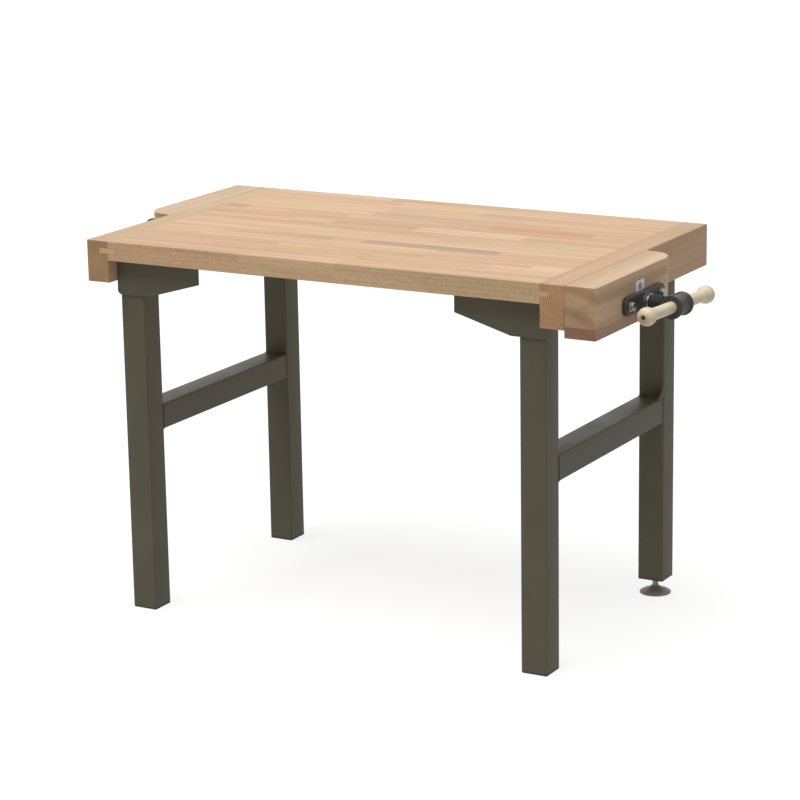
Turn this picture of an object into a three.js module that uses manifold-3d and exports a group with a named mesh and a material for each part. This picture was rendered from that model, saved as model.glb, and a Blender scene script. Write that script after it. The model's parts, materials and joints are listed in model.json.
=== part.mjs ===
// A small joiner's workbench for a classroom. The glued beech top has a deep rail across
// each end, tied to it by a loose tongue. A vice with a wooden jaw closes on each rail, at
// two opposite corners, and a welded frame of square steel tube stands under each end. One
// leg is short and has a levelling foot, and the other three have plastic end plugs.
//
// Millimetres. +X to the right along the top, +Y to the back, +Z up. The origin is on the
// floor under the middle of the top.
//
// Each end is drawn once, as the right-hand end, with its vice at the front. The left-hand
// end is the same end turned half round, so its vice is at the back.
import * as THREE from "three";
import { mergeVertices } from "three/addons/utils/BufferGeometryUtils.js";
import Module from "manifold-3d";

const wasm = await Module();
wasm.setup();

// Overall sizes
const TOP_LENGTH = 962; // over the end rails, jaws left out
const TOP_DEPTH = 600;
const TOP_HEIGHT = 703; // floor to worktop
const GAP = 0.3; // between any two pieces that touch
const CLEARANCE = 0.4; // round a shaft in its bore, on the radius
const WOOD_CLEARANCE = 1; // round a shaft where it only passes through wood
const OVERSHOOT = 1; // how far a cut runs past the face that it opens

// Wooden top
const PANEL_THICKNESS = 36;
const RAIL_WIDTH = 45;
const RAIL_UNDER_SCREW = 8; // wood left below the screw's bore
const TONGUE_THICKNESS = 9.5;
const TONGUE_WIDTH = 35; // half in the panel, half in the rail

// Wooden jaw
const JAW_THICKNESS = 58;
const JAW_BELOW_RAIL = 13; // how far the jaw hangs below the rail
const JAW_STRIP_HEIGHT = 19; // the strip glued on under the jaw board
const JAW_CORNER_RADIUS = 46; // the jaw's outer corner at its inner end
const JAW_EDGE_RADIUS = 3; // the jaw's other outer corner

// Vice irons
const VICE_PAST_LEG = 20.5; // from the leg's inner face to the end of the irons
const PLATE_LENGTH = 158;
const PLATE_HEIGHT = 32;
const PLATE_THICKNESS = 8;
const PLATE_END_RADIUS = 13;
const PLATE_TO_CORNER = 22.5; // from the plate's end to where the jaw's corner begins
const ROD_RADIUS = 8;
const ROD_SPACING = 125;
const ROD_BELOW_PANEL = 9; // from the panel's underside to the top of a rod
const SCREW_RADIUS = 10;
const SCREW_BELOW_RODS = 5; // from the rods' centre line to the screw's
const JOURNAL_STEP = 1; // how much thinner the screw's plain end is, on the radius
const SCREW_CHAMFER = 2;
const IRONS_REACH = 146; // how far rods and screw run in under the panel
const GUIDE_THICKNESS = 30; // the cast guide block on the rail's inner face
const GUIDE_UNDER_SCREW = 8; // iron left below the screw's bore
const BOSS_LENGTH = 7;
const BOSS_WALL = 7;
const RING_THICKNESS = 2.5;
const SLEEVE_LENGTH = 23;
const SLEEVE_WALL = 6;
const SLEEVE_RIBS = 4;
const SLEEVE_RIB_DEPTH = 1.8;
const SLEEVE_RIB_SLOPE = 0.3; // the share of a rib's pitch that each of its flanks takes
const NECK_WALL = 3; // the head's neck, round the screw's plain end
const HEAD_REACH = 24; // from the sleeve's end to the handle's axis
const HEAD_LENGTH = 50;
const HEAD_WALL = 7; // round the handle's hole
const HEAD_RIM = 3.2; // how far the head's rims stand out
const HEAD_RIM_WIDTH = 8;

// Bolts that hold the plate to the guide rods
const BOLT_RADIUS = 4;
const BOLT_IN_ROD = 20;
const BOLT_HEAD_ACROSS_FLATS = 13;
const BOLT_HEAD_HEIGHT = 5.5;
const WASHER_RADIUS = 9;
const WASHER_THICKNESS = 1.6;

// Wooden handle
const HANDLE_RADIUS = 10.5;
const KNOB_RADIUS = 16;
const KNOB_SPACING = 247; // between the centres of the two knobs
const KNOB_FLARE = 26; // from a knob's centre to where it meets the plain bar
const KNOB_SCREW_RADIUS = 4.5;
const KNOB_SCREW_DEPTH = 2.5;
const KNOB_SCREW_RIM = 1; // wood left round the recess at the knob's tip
const TIP_FLAT = 3; // radius of the small flat at the fixed knob's tip
const HANDLE_TILT = -2.5; // degrees about the screw's axis, at rest

// Steel frames
const LEG_TUBE = 50;
const TUBE_WALL = 2.5;
const TUBE_CORNER = 3;
const LEG_TO_RAIL = 4; // from the leg's outer face to the rail's inner face
const LEG_SIDE_INSET = 31; // from the top's long edge to the leg
const STRETCHER_TOP = 387; // above the floor
const STRETCHER_HEIGHT = 48;
const SHEET = 4; // brackets and corner gusset
const BRACKET_PAST_LEG = 122; // how far a bracket runs in beyond its leg
const BRACKET_SLOPE_PAST_LEG = 14; // where its lower edge begins to rise
const BRACKET_DEPTH = 66;
const BRACKET_TIP_DEPTH = 35;
const BRACKET_CHAMFER = 5;
const GUSSET_RADIUS = 28.5;
const GUSSET_NIB = 0.6; // the gusset's thickness where its curve runs out

// Wood screws that hold the brackets' flanges to the panel
const WOOD_SCREW_RADIUS = 2.5;
const WOOD_SCREW_LENGTH = 28;
const WOOD_SCREW_HEAD_RADIUS = 6;
const WOOD_SCREW_HEAD_HEIGHT = 3.5;
const WOOD_SCREW_HEAD_CROWN = 2; // how far the head narrows, on the radius and in height
const WOOD_SCREW_FROM_LEG = [38, 92]; // from the leg's inner face

// Feet
const PLUG_FLANGE = 4;
const PLUG_DEPTH = 14;
const SHORT_LEG_END = 30.6; // the underside of the leg that has the levelling foot
const INSERT_FLANGE = 2.4;
const INSERT_DEPTH = 22;
const STEM_RADIUS = 6;
const STEM_LENGTH = 84;
const STEM_CHAMFER = 1;
const PAD_RADIUS = 29.5;
const PAD_HEIGHT = 13.5;
const PAD_RIM_HEIGHT = 2.5;
const PAD_RIM_CHAMFER = 1;
const PAD_CONE_HEIGHT = 8;
const PAD_SHOULDER = 4; // from the neck to the top of the cone, on the radius
const PAD_NECK_WALL = 2;
const PAD_NECK_TAPER = 1; // how much wider the neck is at its foot, on the radius
const PAD_NECK_FOOT = 2; // height of the slope from the cone to the neck
const PAD_FLOOR = 4; // what is left under the stem's socket

// Places that follow from the sizes above
const halfLength = TOP_LENGTH / 2;
const halfDepth = TOP_DEPTH / 2;
const panelUnderside = TOP_HEIGHT - PANEL_THICKNESS;
const railInner = halfLength - RAIL_WIDTH;
const rodZ = panelUnderside - ROD_BELOW_PANEL - ROD_RADIUS;
const screwZ = rodZ - SCREW_BELOW_RODS;
const screwBore = SCREW_RADIUS + WOOD_CLEARANCE;
const railBottom = screwZ - screwBore - RAIL_UNDER_SCREW;
const jawBottom = railBottom - JAW_BELOW_RAIL;
const legOuterX = railInner - LEG_TO_RAIL;
const legInnerX = legOuterX - LEG_TUBE;
const legOuterY = halfDepth - LEG_SIDE_INSET;
const legInnerY = legOuterY - LEG_TUBE;
const legCentre = { x: legOuterX - LEG_TUBE / 2, y: legOuterY - LEG_TUBE / 2 };
const screwY = -legInnerY + VICE_PAST_LEG + PLATE_LENGTH / 2;
const jawInner = halfLength + GAP;
const jawOuter = jawInner + JAW_THICKNESS;
const jawEnd = screwY + PLATE_LENGTH / 2 + PLATE_TO_CORNER + JAW_CORNER_RADIUS;
const ironsInnerEnd = railInner - IRONS_REACH;
const journalRadius = SCREW_RADIUS - JOURNAL_STEP;
const plateX = jawOuter + GAP;
const bossEnd = plateX + PLATE_THICKNESS + BOSS_LENGTH;
const ringX = bossEnd + GAP;
const sleeveX = ringX + RING_THICKNESS + GAP;
const neckX = sleeveX + SLEEVE_LENGTH + GAP;
const headX = neckX + HEAD_REACH;
const rodYs = [screwY - ROD_SPACING / 2, screwY + ROD_SPACING / 2];
const flangeTop = panelUnderside - GAP;
const legTop = flangeTop - SHEET - GAP;

// How finely round shapes are drawn
const COARSE = 12; // sides of the smallest round pieces
const ROUND = 20;
const FINE = 28;
const TUBE_CORNER_STEPS = 2;
const PLATE_CORNER_STEPS = 6;
const JAW_CORNER_STEPS = 10;
const GUSSET_STEPS = 8;
const KNOB_STEPS = 3; // along the flare, and again along the ball
const MERGE_DISTANCE = 1e-4;

const X_AXIS = new THREE.Vector3(1, 0, 0);
const Y_AXIS = new THREE.Vector3(0, 1, 0);
const Z_AXIS = new THREE.Vector3(0, 0, 1);

const material = (color, roughness, metalness) =>
  new THREE.MeshStandardMaterial({ color, roughness, metalness });
const MATERIALS = {
  panelBeech: () => material("#d8b48c", 0.5, 0),
  railBeech: () => material("#c79f78", 0.5, 0),
  stripBeech: () => material("#93705b", 0.55, 0),
  tongueBeech: () => material("#dcbb93", 0.55, 0),
  handleWood: () => material("#ddceb0", 0.5, 0),
  powderCoat: () => material("#57534a", 0.45, 0.2),
  blackIron: () => material("#2f2f2e", 0.55, 0.6),
  zincSteel: () => material("#b9bbb8", 0.3, 1),
  brightSteel: () => material("#d4d6d6", 0.18, 1),
  blackRubber: () => material("#252525", 0.7, 0),
  darkPlastic: () => material("#4a473f", 0.6, 0),
};

// A closed geometry as a solid that can be cut and joined.
function solidOf(geometry) {
  const bare = geometry.clone();
  bare.deleteAttribute("normal");
  bare.deleteAttribute("uv");
  const merged = mergeVertices(bare, MERGE_DISTANCE);
  return new wasm.Manifold(
    new wasm.Mesh({
      numProp: 3,
      vertProperties: new Float32Array(merged.attributes.position.array),
      triVerts: new Uint32Array(merged.index.array),
    }),
  );
}

function geometryOf(solid) {
  const mesh = solid.getMesh();
  const geometry = new THREE.BufferGeometry();
  geometry.setAttribute("position", new THREE.BufferAttribute(mesh.vertProperties, 3));
  geometry.setIndex(new THREE.BufferAttribute(mesh.triVerts, 1));
  geometry.computeVertexNormals();
  return geometry;
}

function join(...geometries) {
  return geometryOf(geometries.map(solidOf).reduce((all, next) => all.add(next)));
}

function cut(geometry, ...tools) {
  return geometryOf(tools.map(solidOf).reduce((all, next) => all.subtract(next), solidOf(geometry)));
}

// A box between two corners.
function box([x0, y0, z0], [x1, y1, z1]) {
  const geometry = new THREE.BoxGeometry(x1 - x0, y1 - y0, z1 - z0);
  return geometry.translate((x0 + x1) / 2, (y0 + y1) / 2, (z0 + z1) / 2);
}

// Turns a geometry whose length runs along +Y so that it runs along axis, from start.
function aim(geometry, axis, start) {
  const turn = new THREE.Quaternion().setFromUnitVectors(Y_AXIS, axis);
  return geometry.applyQuaternion(turn).translate(...start);
}

function rod(radius, length, axis, start, sides = ROUND) {
  const geometry = new THREE.CylinderGeometry(radius, radius, length, sides);
  return aim(geometry.translate(0, length / 2, 0), axis, start);
}

// A profile of [radius, height] points, from the axis and back to it, turned round axis.
function turned(profile, axis, start, sides = ROUND) {
  const points = profile.map(([radius, height]) => new THREE.Vector2(radius, height));
  return aim(new THREE.LatheGeometry(points, sides), axis, start);
}

// A flat washer or tube: outer and inner radius, and length along axis.
function tube(outer, inner, length, axis, start, sides = ROUND) {
  const profile = [[inner, 0], [outer, 0], [outer, length], [inner, length], [inner, 0]];
  return turned(profile, axis, start, sides);
}

// A shape in the XY plane, raised along Z from z0 to z1.
function prism(shape, z0, z1, curveSegments) {
  const settings = { depth: z1 - z0, bevelEnabled: false, curveSegments };
  return new THREE.ExtrudeGeometry(shape, settings).translate(0, 0, z0);
}

// A rectangle about the origin with rounded corners.
function roundedRectangle(width, height, radius, Outline = THREE.Shape) {
  const [x, y] = [width / 2, height / 2];
  const outline = new Outline();
  outline.moveTo(-x + radius, -y);
  outline.lineTo(x - radius, -y);
  outline.absarc(x - radius, -y + radius, radius, -Math.PI / 2, 0, false);
  outline.lineTo(x, y - radius);
  outline.absarc(x - radius, y - radius, radius, 0, Math.PI / 2, false);
  outline.lineTo(-x + radius, y);
  outline.absarc(-x + radius, y - radius, radius, Math.PI / 2, Math.PI, false);
  outline.lineTo(-x, -y + radius);
  outline.absarc(-x + radius, -y + radius, radius, Math.PI, 1.5 * Math.PI, false);
  return outline;
}

// Rectangular tube with rounded corners, standing along Z from z0 to z1.
function squareTube(width, height, z0, z1) {
  const shape = roundedRectangle(width, height, TUBE_CORNER);
  const inside = [width - 2 * TUBE_WALL, height - 2 * TUBE_WALL];
  shape.holes.push(roundedRectangle(...inside, TUBE_CORNER / 2, THREE.Path));
  return prism(shape, z0, z1, TUBE_CORNER_STEPS);
}

const bench = new THREE.Group();

function add(parent, name, geometry, finish) {
  const mesh = new THREE.Mesh(geometry, finish());
  mesh.name = name;
  parent.add(mesh);
}

// The screw's and the rods' bores, as tools that run the whole length of the irons.
function ironBores(rodClearance, screwRadius) {
  const length = plateX - ironsInnerEnd;
  const rods = rodYs.map((y) => rod(ROD_RADIUS + rodClearance, length, X_AXIS, [ironsInnerEnd, y, rodZ]));
  return [...rods, rod(screwRadius, length, X_AXIS, [ironsInnerEnd, screwY, screwZ])];
}

// The slot for the loose tongue, in the panel or the rail, seen from the joint between them.
function tongueSlot() {
  const reach = TONGUE_WIDTH / 2 + GAP;
  const middle = TOP_HEIGHT - PANEL_THICKNESS / 2;
  const half = TONGUE_THICKNESS / 2 + GAP;
  return box(
    [railInner - reach, -halfDepth - OVERSHOOT, middle - half],
    [railInner + reach, halfDepth + OVERSHOOT, middle + half],
  );
}

// Where the wood screws stand, for one end: [x, y] pairs under each bracket's flange.
function woodScrewPlaces(row) {
  return WOOD_SCREW_FROM_LEG.map((distance) => [legInnerX - distance, row * legCentre.y]);
}

function panel() {
  const end = railInner - GAP;
  const slab = box([-end, -halfDepth, panelUnderside], [end, halfDepth, TOP_HEIGHT]);
  const holeRadius = WOOD_SCREW_RADIUS + GAP;
  const holeDepth = WOOD_SCREW_LENGTH + GAP + OVERSHOOT;
  const holeStart = panelUnderside - OVERSHOOT;
  const holes = [-1, 1].flatMap((row) =>
    woodScrewPlaces(row).map(([x, y]) => rod(holeRadius, holeDepth, Z_AXIS, [x, y, holeStart], COARSE)),
  );
  const oneEnd = [tongueSlot(), ...holes];
  const otherEnd = oneEnd.map((tool) => tool.clone().rotateZ(Math.PI));
  return cut(slab, ...oneEnd, ...otherEnd);
}

function rail() {
  const bar = box([railInner, -halfDepth, railBottom], [halfLength, halfDepth, TOP_HEIGHT]);
  return cut(bar, tongueSlot(), ...ironBores(WOOD_CLEARANCE, screwBore));
}

function tongue() {
  const middle = TOP_HEIGHT - PANEL_THICKNESS / 2;
  return box(
    [railInner - TONGUE_WIDTH / 2, -halfDepth, middle - TONGUE_THICKNESS / 2],
    [railInner + TONGUE_WIDTH / 2, halfDepth, middle + TONGUE_THICKNESS / 2],
  );
}

// The jaw's outline from above, raised between two heights.
function jawBlock(z0, z1) {
  const outline = new THREE.Shape();
  const front = -halfDepth;
  outline.moveTo(jawInner, front);
  outline.lineTo(jawOuter - JAW_EDGE_RADIUS, front);
  const edge = [jawOuter - JAW_EDGE_RADIUS, front + JAW_EDGE_RADIUS];
  outline.absarc(...edge, JAW_EDGE_RADIUS, -Math.PI / 2, 0, false);
  outline.lineTo(jawOuter, jawEnd - JAW_CORNER_RADIUS);
  const corner = [jawOuter - JAW_CORNER_RADIUS, jawEnd - JAW_CORNER_RADIUS];
  outline.absarc(...corner, JAW_CORNER_RADIUS, 0, Math.PI / 2, false);
  outline.lineTo(jawInner, jawEnd);
  const block = prism(outline, z0, z1, JAW_CORNER_STEPS);
  return cut(block, ...ironBores(CLEARANCE, journalRadius + WOOD_CLEARANCE));
}

function vicePlate() {
  const shape = roundedRectangle(PLATE_LENGTH, PLATE_HEIGHT, PLATE_END_RADIUS);
  const flat = prism(shape, 0, PLATE_THICKNESS, PLATE_CORNER_STEPS);
  const plate = flat.rotateX(Math.PI / 2).rotateZ(Math.PI / 2);
  const length = bossEnd - plateX;
  const boss = rod(journalRadius + BOSS_WALL, length, X_AXIS, [plateX, screwY, screwZ], FINE);
  const through = length + 2 * OVERSHOOT;
  const start = (y, z) => [plateX - OVERSHOOT, y, z];
  const bore = rod(journalRadius + CLEARANCE, through, X_AXIS, start(screwY, screwZ), FINE);
  const boltHoles = rodYs.map((y) =>
    rod(BOLT_RADIUS + GAP, through, X_AXIS, start(y, rodZ), COARSE),
  );
  return cut(join(plate.translate(plateX, screwY, rodZ), boss), bore, ...boltHoles);
}

// A guide rod, with a blind hole in its outer end for the plate's bolt.
function guideRod(y) {
  const length = jawOuter - ironsInnerEnd;
  const hole = BOLT_RADIUS + GAP;
  const floor = length - BOLT_IN_ROD - GAP;
  const profile = [
    [0, 0], [ROD_RADIUS, 0], [ROD_RADIUS, length],
    [hole, length], [hole, floor], [0, floor],
  ];
  return turned(profile, X_AXIS, [ironsInnerEnd, y, rodZ]);
}

function plateBolt(y) {
  const washerX = plateX + PLATE_THICKNESS + GAP;
  const headEnd = washerX + WASHER_THICKNESS + BOLT_HEAD_HEIGHT;
  const tip = jawOuter - BOLT_IN_ROD;
  const acrossCorners = BOLT_HEAD_ACROSS_FLATS / Math.sqrt(3);
  return join(
    rod(BOLT_RADIUS, headEnd - BOLT_HEAD_HEIGHT / 2 - tip, X_AXIS, [tip, y, rodZ], COARSE),
    rod(WASHER_RADIUS, WASHER_THICKNESS, X_AXIS, [washerX, y, rodZ]),
    rod(acrossCorners, headEnd - washerX, X_AXIS, [washerX, y, rodZ], 6),
  );
}

// The cast block behind the rail, with the nut for the screw and a bush for each rod.
function guideBlock() {
  const z0 = screwZ - SCREW_RADIUS - GUIDE_UNDER_SCREW;
  const block = box(
    [railInner - GAP - GUIDE_THICKNESS, screwY - PLATE_LENGTH / 2, z0],
    [railInner - GAP, screwY + PLATE_LENGTH / 2, panelUnderside - GAP],
  );
  return cut(block, ...ironBores(CLEARANCE, SCREW_RADIUS + CLEARANCE));
}

function viceScrew() {
  const step = railInner - ironsInnerEnd;
  const length = neckX - GAP - ironsInnerEnd;
  const profile = [
    [0, 0], [SCREW_RADIUS - SCREW_CHAMFER, 0], [SCREW_RADIUS, SCREW_CHAMFER], [SCREW_RADIUS, step],
    [journalRadius, step], [journalRadius, length], [0, length],
  ];
  return turned(profile, X_AXIS, [ironsInnerEnd, screwY, screwZ]);
}

function thrustRing() {
  const inner = journalRadius + CLEARANCE;
  return tube(journalRadius + BOSS_WALL, inner, RING_THICKNESS, X_AXIS, [ringX, screwY, screwZ]);
}

// A rubber sleeve with round ribs, which keeps shavings off the screw's plain end.
function ribbedSleeve() {
  const outer = journalRadius + SLEEVE_WALL;
  const inner = journalRadius + CLEARANCE;
  const pitch = SLEEVE_LENGTH / SLEEVE_RIBS;
  const profile = [[inner, 0]];
  for (let i = 0; i < SLEEVE_RIBS; i++) {
    profile.push([outer - SLEEVE_RIB_DEPTH, i * pitch]);
    profile.push([outer, (i + SLEEVE_RIB_SLOPE) * pitch]);
    profile.push([outer, (i + 1 - SLEEVE_RIB_SLOPE) * pitch]);
  }
  profile.push([outer - SLEEVE_RIB_DEPTH, SLEEVE_LENGTH], [inner, SLEEVE_LENGTH], [inner, 0]);
  return turned(profile, X_AXIS, [sleeveX, screwY, screwZ], COARSE);
}

// The cross barrel that the handle slides in, about its own middle, with its neck.
function viceHead() {
  const waist = HANDLE_RADIUS + HEAD_WALL;
  const rim = waist + HEAD_RIM;
  const half = HEAD_LENGTH / 2;
  const profile = [
    [0, -half], [rim, -half],
    [rim, -half + HEAD_RIM_WIDTH - HEAD_RIM], [waist, -half + HEAD_RIM_WIDTH],
    [waist, half - HEAD_RIM_WIDTH], [rim, half - HEAD_RIM_WIDTH + HEAD_RIM],
    [rim, half], [0, half],
  ];
  const barrel = turned(profile, Y_AXIS, [0, 0, 0]);
  const neck = rod(journalRadius + NECK_WALL, HEAD_REACH, X_AXIS, [-HEAD_REACH, 0, 0]);
  const holeLength = HEAD_LENGTH + 2 * OVERSHOOT;
  const hole = rod(HANDLE_RADIUS + CLEARANCE, holeLength, Y_AXIS, [0, -half - OVERSHOOT, 0]);
  return cut(join(barrel, neck), hole);
}

// One end of the handle, from the plain bar out to the knob's tip, as [radius, distance from
// the knob's centre] points: a long flare on the bar's side and a ball on the other.
function knobProfile(tipRadius) {
  const points = [];
  for (let i = 0; i <= KNOB_STEPS; i++) {
    const t = i / KNOB_STEPS;
    const swell = 0.5 - 0.5 * Math.cos(Math.PI * t);
    points.push([HANDLE_RADIUS + (KNOB_RADIUS - HANDLE_RADIUS) * swell, -KNOB_FLARE * (1 - t)]);
  }
  const last = Math.acos(tipRadius / KNOB_RADIUS);
  for (let i = 1; i <= KNOB_STEPS; i++) {
    const angle = (last * i) / KNOB_STEPS;
    points.push([KNOB_RADIUS * Math.cos(angle), KNOB_RADIUS * Math.sin(angle)]);
  }
  return points;
}

// The bar, with the fixed knob at its +Y end, about the middle of the handle.
function handleBar() {
  const centre = KNOB_SPACING / 2;
  const start = -centre + KNOB_FLARE + GAP;
  const knob = knobProfile(TIP_FLAT).map(([radius, y]) => [radius, centre + y]);
  const profile = [[0, start], [HANDLE_RADIUS, start], ...knob, [0, knob.at(-1)[1]]];
  return turned(profile, Y_AXIS, [0, 0, 0]);
}

// The loose knob at the handle's -Y end, with the recess for the screw that holds it.
function looseKnob() {
  const centre = KNOB_SPACING / 2;
  const tipRadius = KNOB_SCREW_RADIUS + KNOB_SCREW_RIM;
  const knob = knobProfile(tipRadius).map(([radius, y]) => [radius, centre + y]);
  const tip = knob.at(-1)[1];
  const floor = tip - KNOB_SCREW_DEPTH;
  const profile = [
    [0, knob[0][1]], ...knob,
    [KNOB_SCREW_RADIUS, tip], [KNOB_SCREW_RADIUS, floor], [0, floor],
  ];
  return turned(profile, Y_AXIS, [0, 0, 0]).rotateZ(Math.PI);
}

// A leg's tube, from the height where it ends to the bracket's flange.
function leg(row, bottom) {
  return squareTube(LEG_TUBE, LEG_TUBE, bottom, legTop).translate(legCentre.x, row * legCentre.y, 0);
}

function stretcher() {
  const half = legInnerY - GAP;
  const bar = squareTube(LEG_TUBE, STRETCHER_HEIGHT, -half, half).rotateX(Math.PI / 2);
  return bar.translate(legCentre.x, 0, STRETCHER_TOP - STRETCHER_HEIGHT / 2);
}

// A folded bracket: a web that stands against the leg's outer side, and a flange that lies
// under the panel, over the leg's top.
function bracket(row) {
  const outer = railInner - GAP;
  const tip = legInnerX - BRACKET_PAST_LEG;
  const shape = new THREE.Shape();
  shape.moveTo(tip, flangeTop);
  shape.lineTo(tip, flangeTop - BRACKET_TIP_DEPTH);
  shape.lineTo(legInnerX - BRACKET_SLOPE_PAST_LEG, flangeTop - BRACKET_DEPTH);
  shape.lineTo(outer - BRACKET_CHAMFER, flangeTop - BRACKET_DEPTH);
  shape.lineTo(outer, flangeTop - BRACKET_DEPTH + BRACKET_CHAMFER);
  shape.lineTo(outer, flangeTop);
  const webInner = legOuterY + GAP;
  const web = prism(shape, -webInner - SHEET, -webInner, 1).rotateX(Math.PI / 2);
  const flange = box([tip, legInnerY, flangeTop - SHEET], [outer, webInner + SHEET, flangeTop]);
  const holeLength = SHEET + 2 * OVERSHOOT;
  const holeStart = flangeTop - SHEET - OVERSHOOT;
  const holes = woodScrewPlaces(1).map(([x, y]) =>
    rod(WOOD_SCREW_RADIUS + GAP, holeLength, Z_AXIS, [x, y, holeStart], COARSE),
  );
  const folded = cut(join(web, flange), ...holes);
  return row > 0 ? folded : mirroredAcrossY(folded);
}

// The same solid with front and back exchanged, still facing outwards.
function mirroredAcrossY(geometry) {
  const mirrored = geometry.clone().scale(1, -1, 1);
  const index = mirrored.index.array;
  for (let i = 0; i < index.length; i += 3) {
    [index[i + 1], index[i + 2]] = [index[i + 2], index[i + 1]];
  }
  mirrored.computeVertexNormals();
  return mirrored;
}

function woodScrew([x, y]) {
  const head = WOOD_SCREW_HEAD_HEIGHT;
  const radius = WOOD_SCREW_RADIUS;
  const headRadius = WOOD_SCREW_HEAD_RADIUS;
  const neck = head + SHEET + GAP;
  const tipStart = neck + WOOD_SCREW_LENGTH - 2 * radius;
  const profile = [
    [0, 0], [headRadius - WOOD_SCREW_HEAD_CROWN, 0], [headRadius, WOOD_SCREW_HEAD_CROWN],
    [headRadius, head], [radius, head], [radius, tipStart], [0, neck + WOOD_SCREW_LENGTH - GAP],
  ];
  return turned(profile, Z_AXIS, [x, y, flangeTop - SHEET - GAP - head], COARSE);
}

// A thin web with a hollow curve, in the upper corner between stretcher and plain-side leg.
function cornerGusset() {
  const [y, z] = [legInnerY - GAP, STRETCHER_TOP + GAP];
  const shape = new THREE.Shape();
  shape.moveTo(y, z);
  shape.lineTo(y, z + GUSSET_RADIUS);
  shape.lineTo(y - GUSSET_NIB, z + GUSSET_RADIUS);
  const centre = [y - GUSSET_RADIUS, z + GUSSET_RADIUS];
  shape.absarc(...centre, GUSSET_RADIUS - GUSSET_NIB, 0, -Math.PI / 2, true);
  shape.lineTo(y - GUSSET_RADIUS, z);
  const web = prism(shape, legOuterX - SHEET, legOuterX, GUSSET_STEPS);
  return web.rotateX(Math.PI / 2).rotateZ(Math.PI / 2);
}

// A plastic plug: a flange as wide as the tube, and a body that fits inside it.
function plugBody(row, bottom, flange, depth) {
  const insideWidth = LEG_TUBE - 2 * TUBE_WALL - 2 * GAP;
  const inside = roundedRectangle(insideWidth, insideWidth, TUBE_CORNER / 2);
  const outside = roundedRectangle(LEG_TUBE, LEG_TUBE, TUBE_CORNER);
  const plug = join(
    prism(outside, bottom, bottom + flange, TUBE_CORNER_STEPS),
    prism(inside, bottom + flange / 2, bottom + flange + depth, TUBE_CORNER_STEPS),
  );
  return plug.translate(legCentre.x, row * legCentre.y, 0);
}

function footInsert(row) {
  const start = [legCentre.x, row * legCentre.y, SHORT_LEG_END - OVERSHOOT];
  const length = INSERT_FLANGE + INSERT_DEPTH + 2 * OVERSHOOT;
  return cut(
    plugBody(row, SHORT_LEG_END, INSERT_FLANGE, INSERT_DEPTH),
    rod(STEM_RADIUS + CLEARANCE, length, Z_AXIS, start),
  );
}

function footStem(row) {
  const end = STEM_RADIUS - STEM_CHAMFER;
  const profile = [
    [0, 0], [end, 0], [STEM_RADIUS, STEM_CHAMFER],
    [STEM_RADIUS, STEM_LENGTH - STEM_CHAMFER], [end, STEM_LENGTH], [0, STEM_LENGTH],
  ];
  return turned(profile, Z_AXIS, [legCentre.x, row * legCentre.y, PAD_FLOOR + GAP]);
}

function footPad(row) {
  const socket = STEM_RADIUS + CLEARANCE;
  const neck = socket + PAD_NECK_WALL;
  const profile = [
    [0, 0], [PAD_RADIUS - PAD_RIM_CHAMFER, 0], [PAD_RADIUS, PAD_RIM_CHAMFER],
    [PAD_RADIUS, PAD_RIM_HEIGHT], [neck + PAD_SHOULDER, PAD_CONE_HEIGHT],
    [neck + PAD_NECK_TAPER, PAD_CONE_HEIGHT + PAD_NECK_FOOT], [neck, PAD_HEIGHT],
    [socket, PAD_HEIGHT], [socket, PAD_FLOOR], [0, PAD_FLOOR],
  ];
  return turned(profile, Z_AXIS, [legCentre.x, row * legCentre.y, 0], FINE);
}

// One vice's moving irons and its jaw, named after its side of the bench. near is the name
// of the row that its loose knob points to.
function addVice(end, side, near, far) {
  const rows = [near, far];
  const stripTop = jawBottom + JAW_STRIP_HEIGHT;
  add(end, `${side}_jaw_board`, jawBlock(stripTop + GAP, TOP_HEIGHT), MATERIALS.railBeech);
  add(end, `${side}_jaw_strip`, jawBlock(jawBottom, stripTop), MATERIALS.stripBeech);
  add(end, `${side}_vice_plate`, vicePlate(), MATERIALS.blackIron);
  rodYs.forEach((y, i) => {
    add(end, `${side}_${rows[i]}_guide_rod`, guideRod(y), MATERIALS.brightSteel);
    add(end, `${side}_${rows[i]}_plate_bolt`, plateBolt(y), MATERIALS.zincSteel);
  });
  add(end, `${side}_guide_block`, guideBlock(), MATERIALS.blackIron);
  add(end, `${side}_vice_screw`, viceScrew(), MATERIALS.brightSteel);
  add(end, `${side}_thrust_ring`, thrustRing(), MATERIALS.brightSteel);
  add(end, `${side}_ribbed_sleeve`, ribbedSleeve(), MATERIALS.blackRubber);
  const head = new THREE.Group();
  head.position.set(headX, screwY, screwZ);
  head.rotation.x = THREE.MathUtils.degToRad(HANDLE_TILT);
  add(head, `${side}_vice_head`, viceHead(), MATERIALS.blackIron);
  add(head, `${side}_handle_bar`, handleBar(), MATERIALS.handleWood);
  add(head, `${side}_handle_knob`, looseKnob(), MATERIALS.handleWood);
  end.add(head);
}

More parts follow.
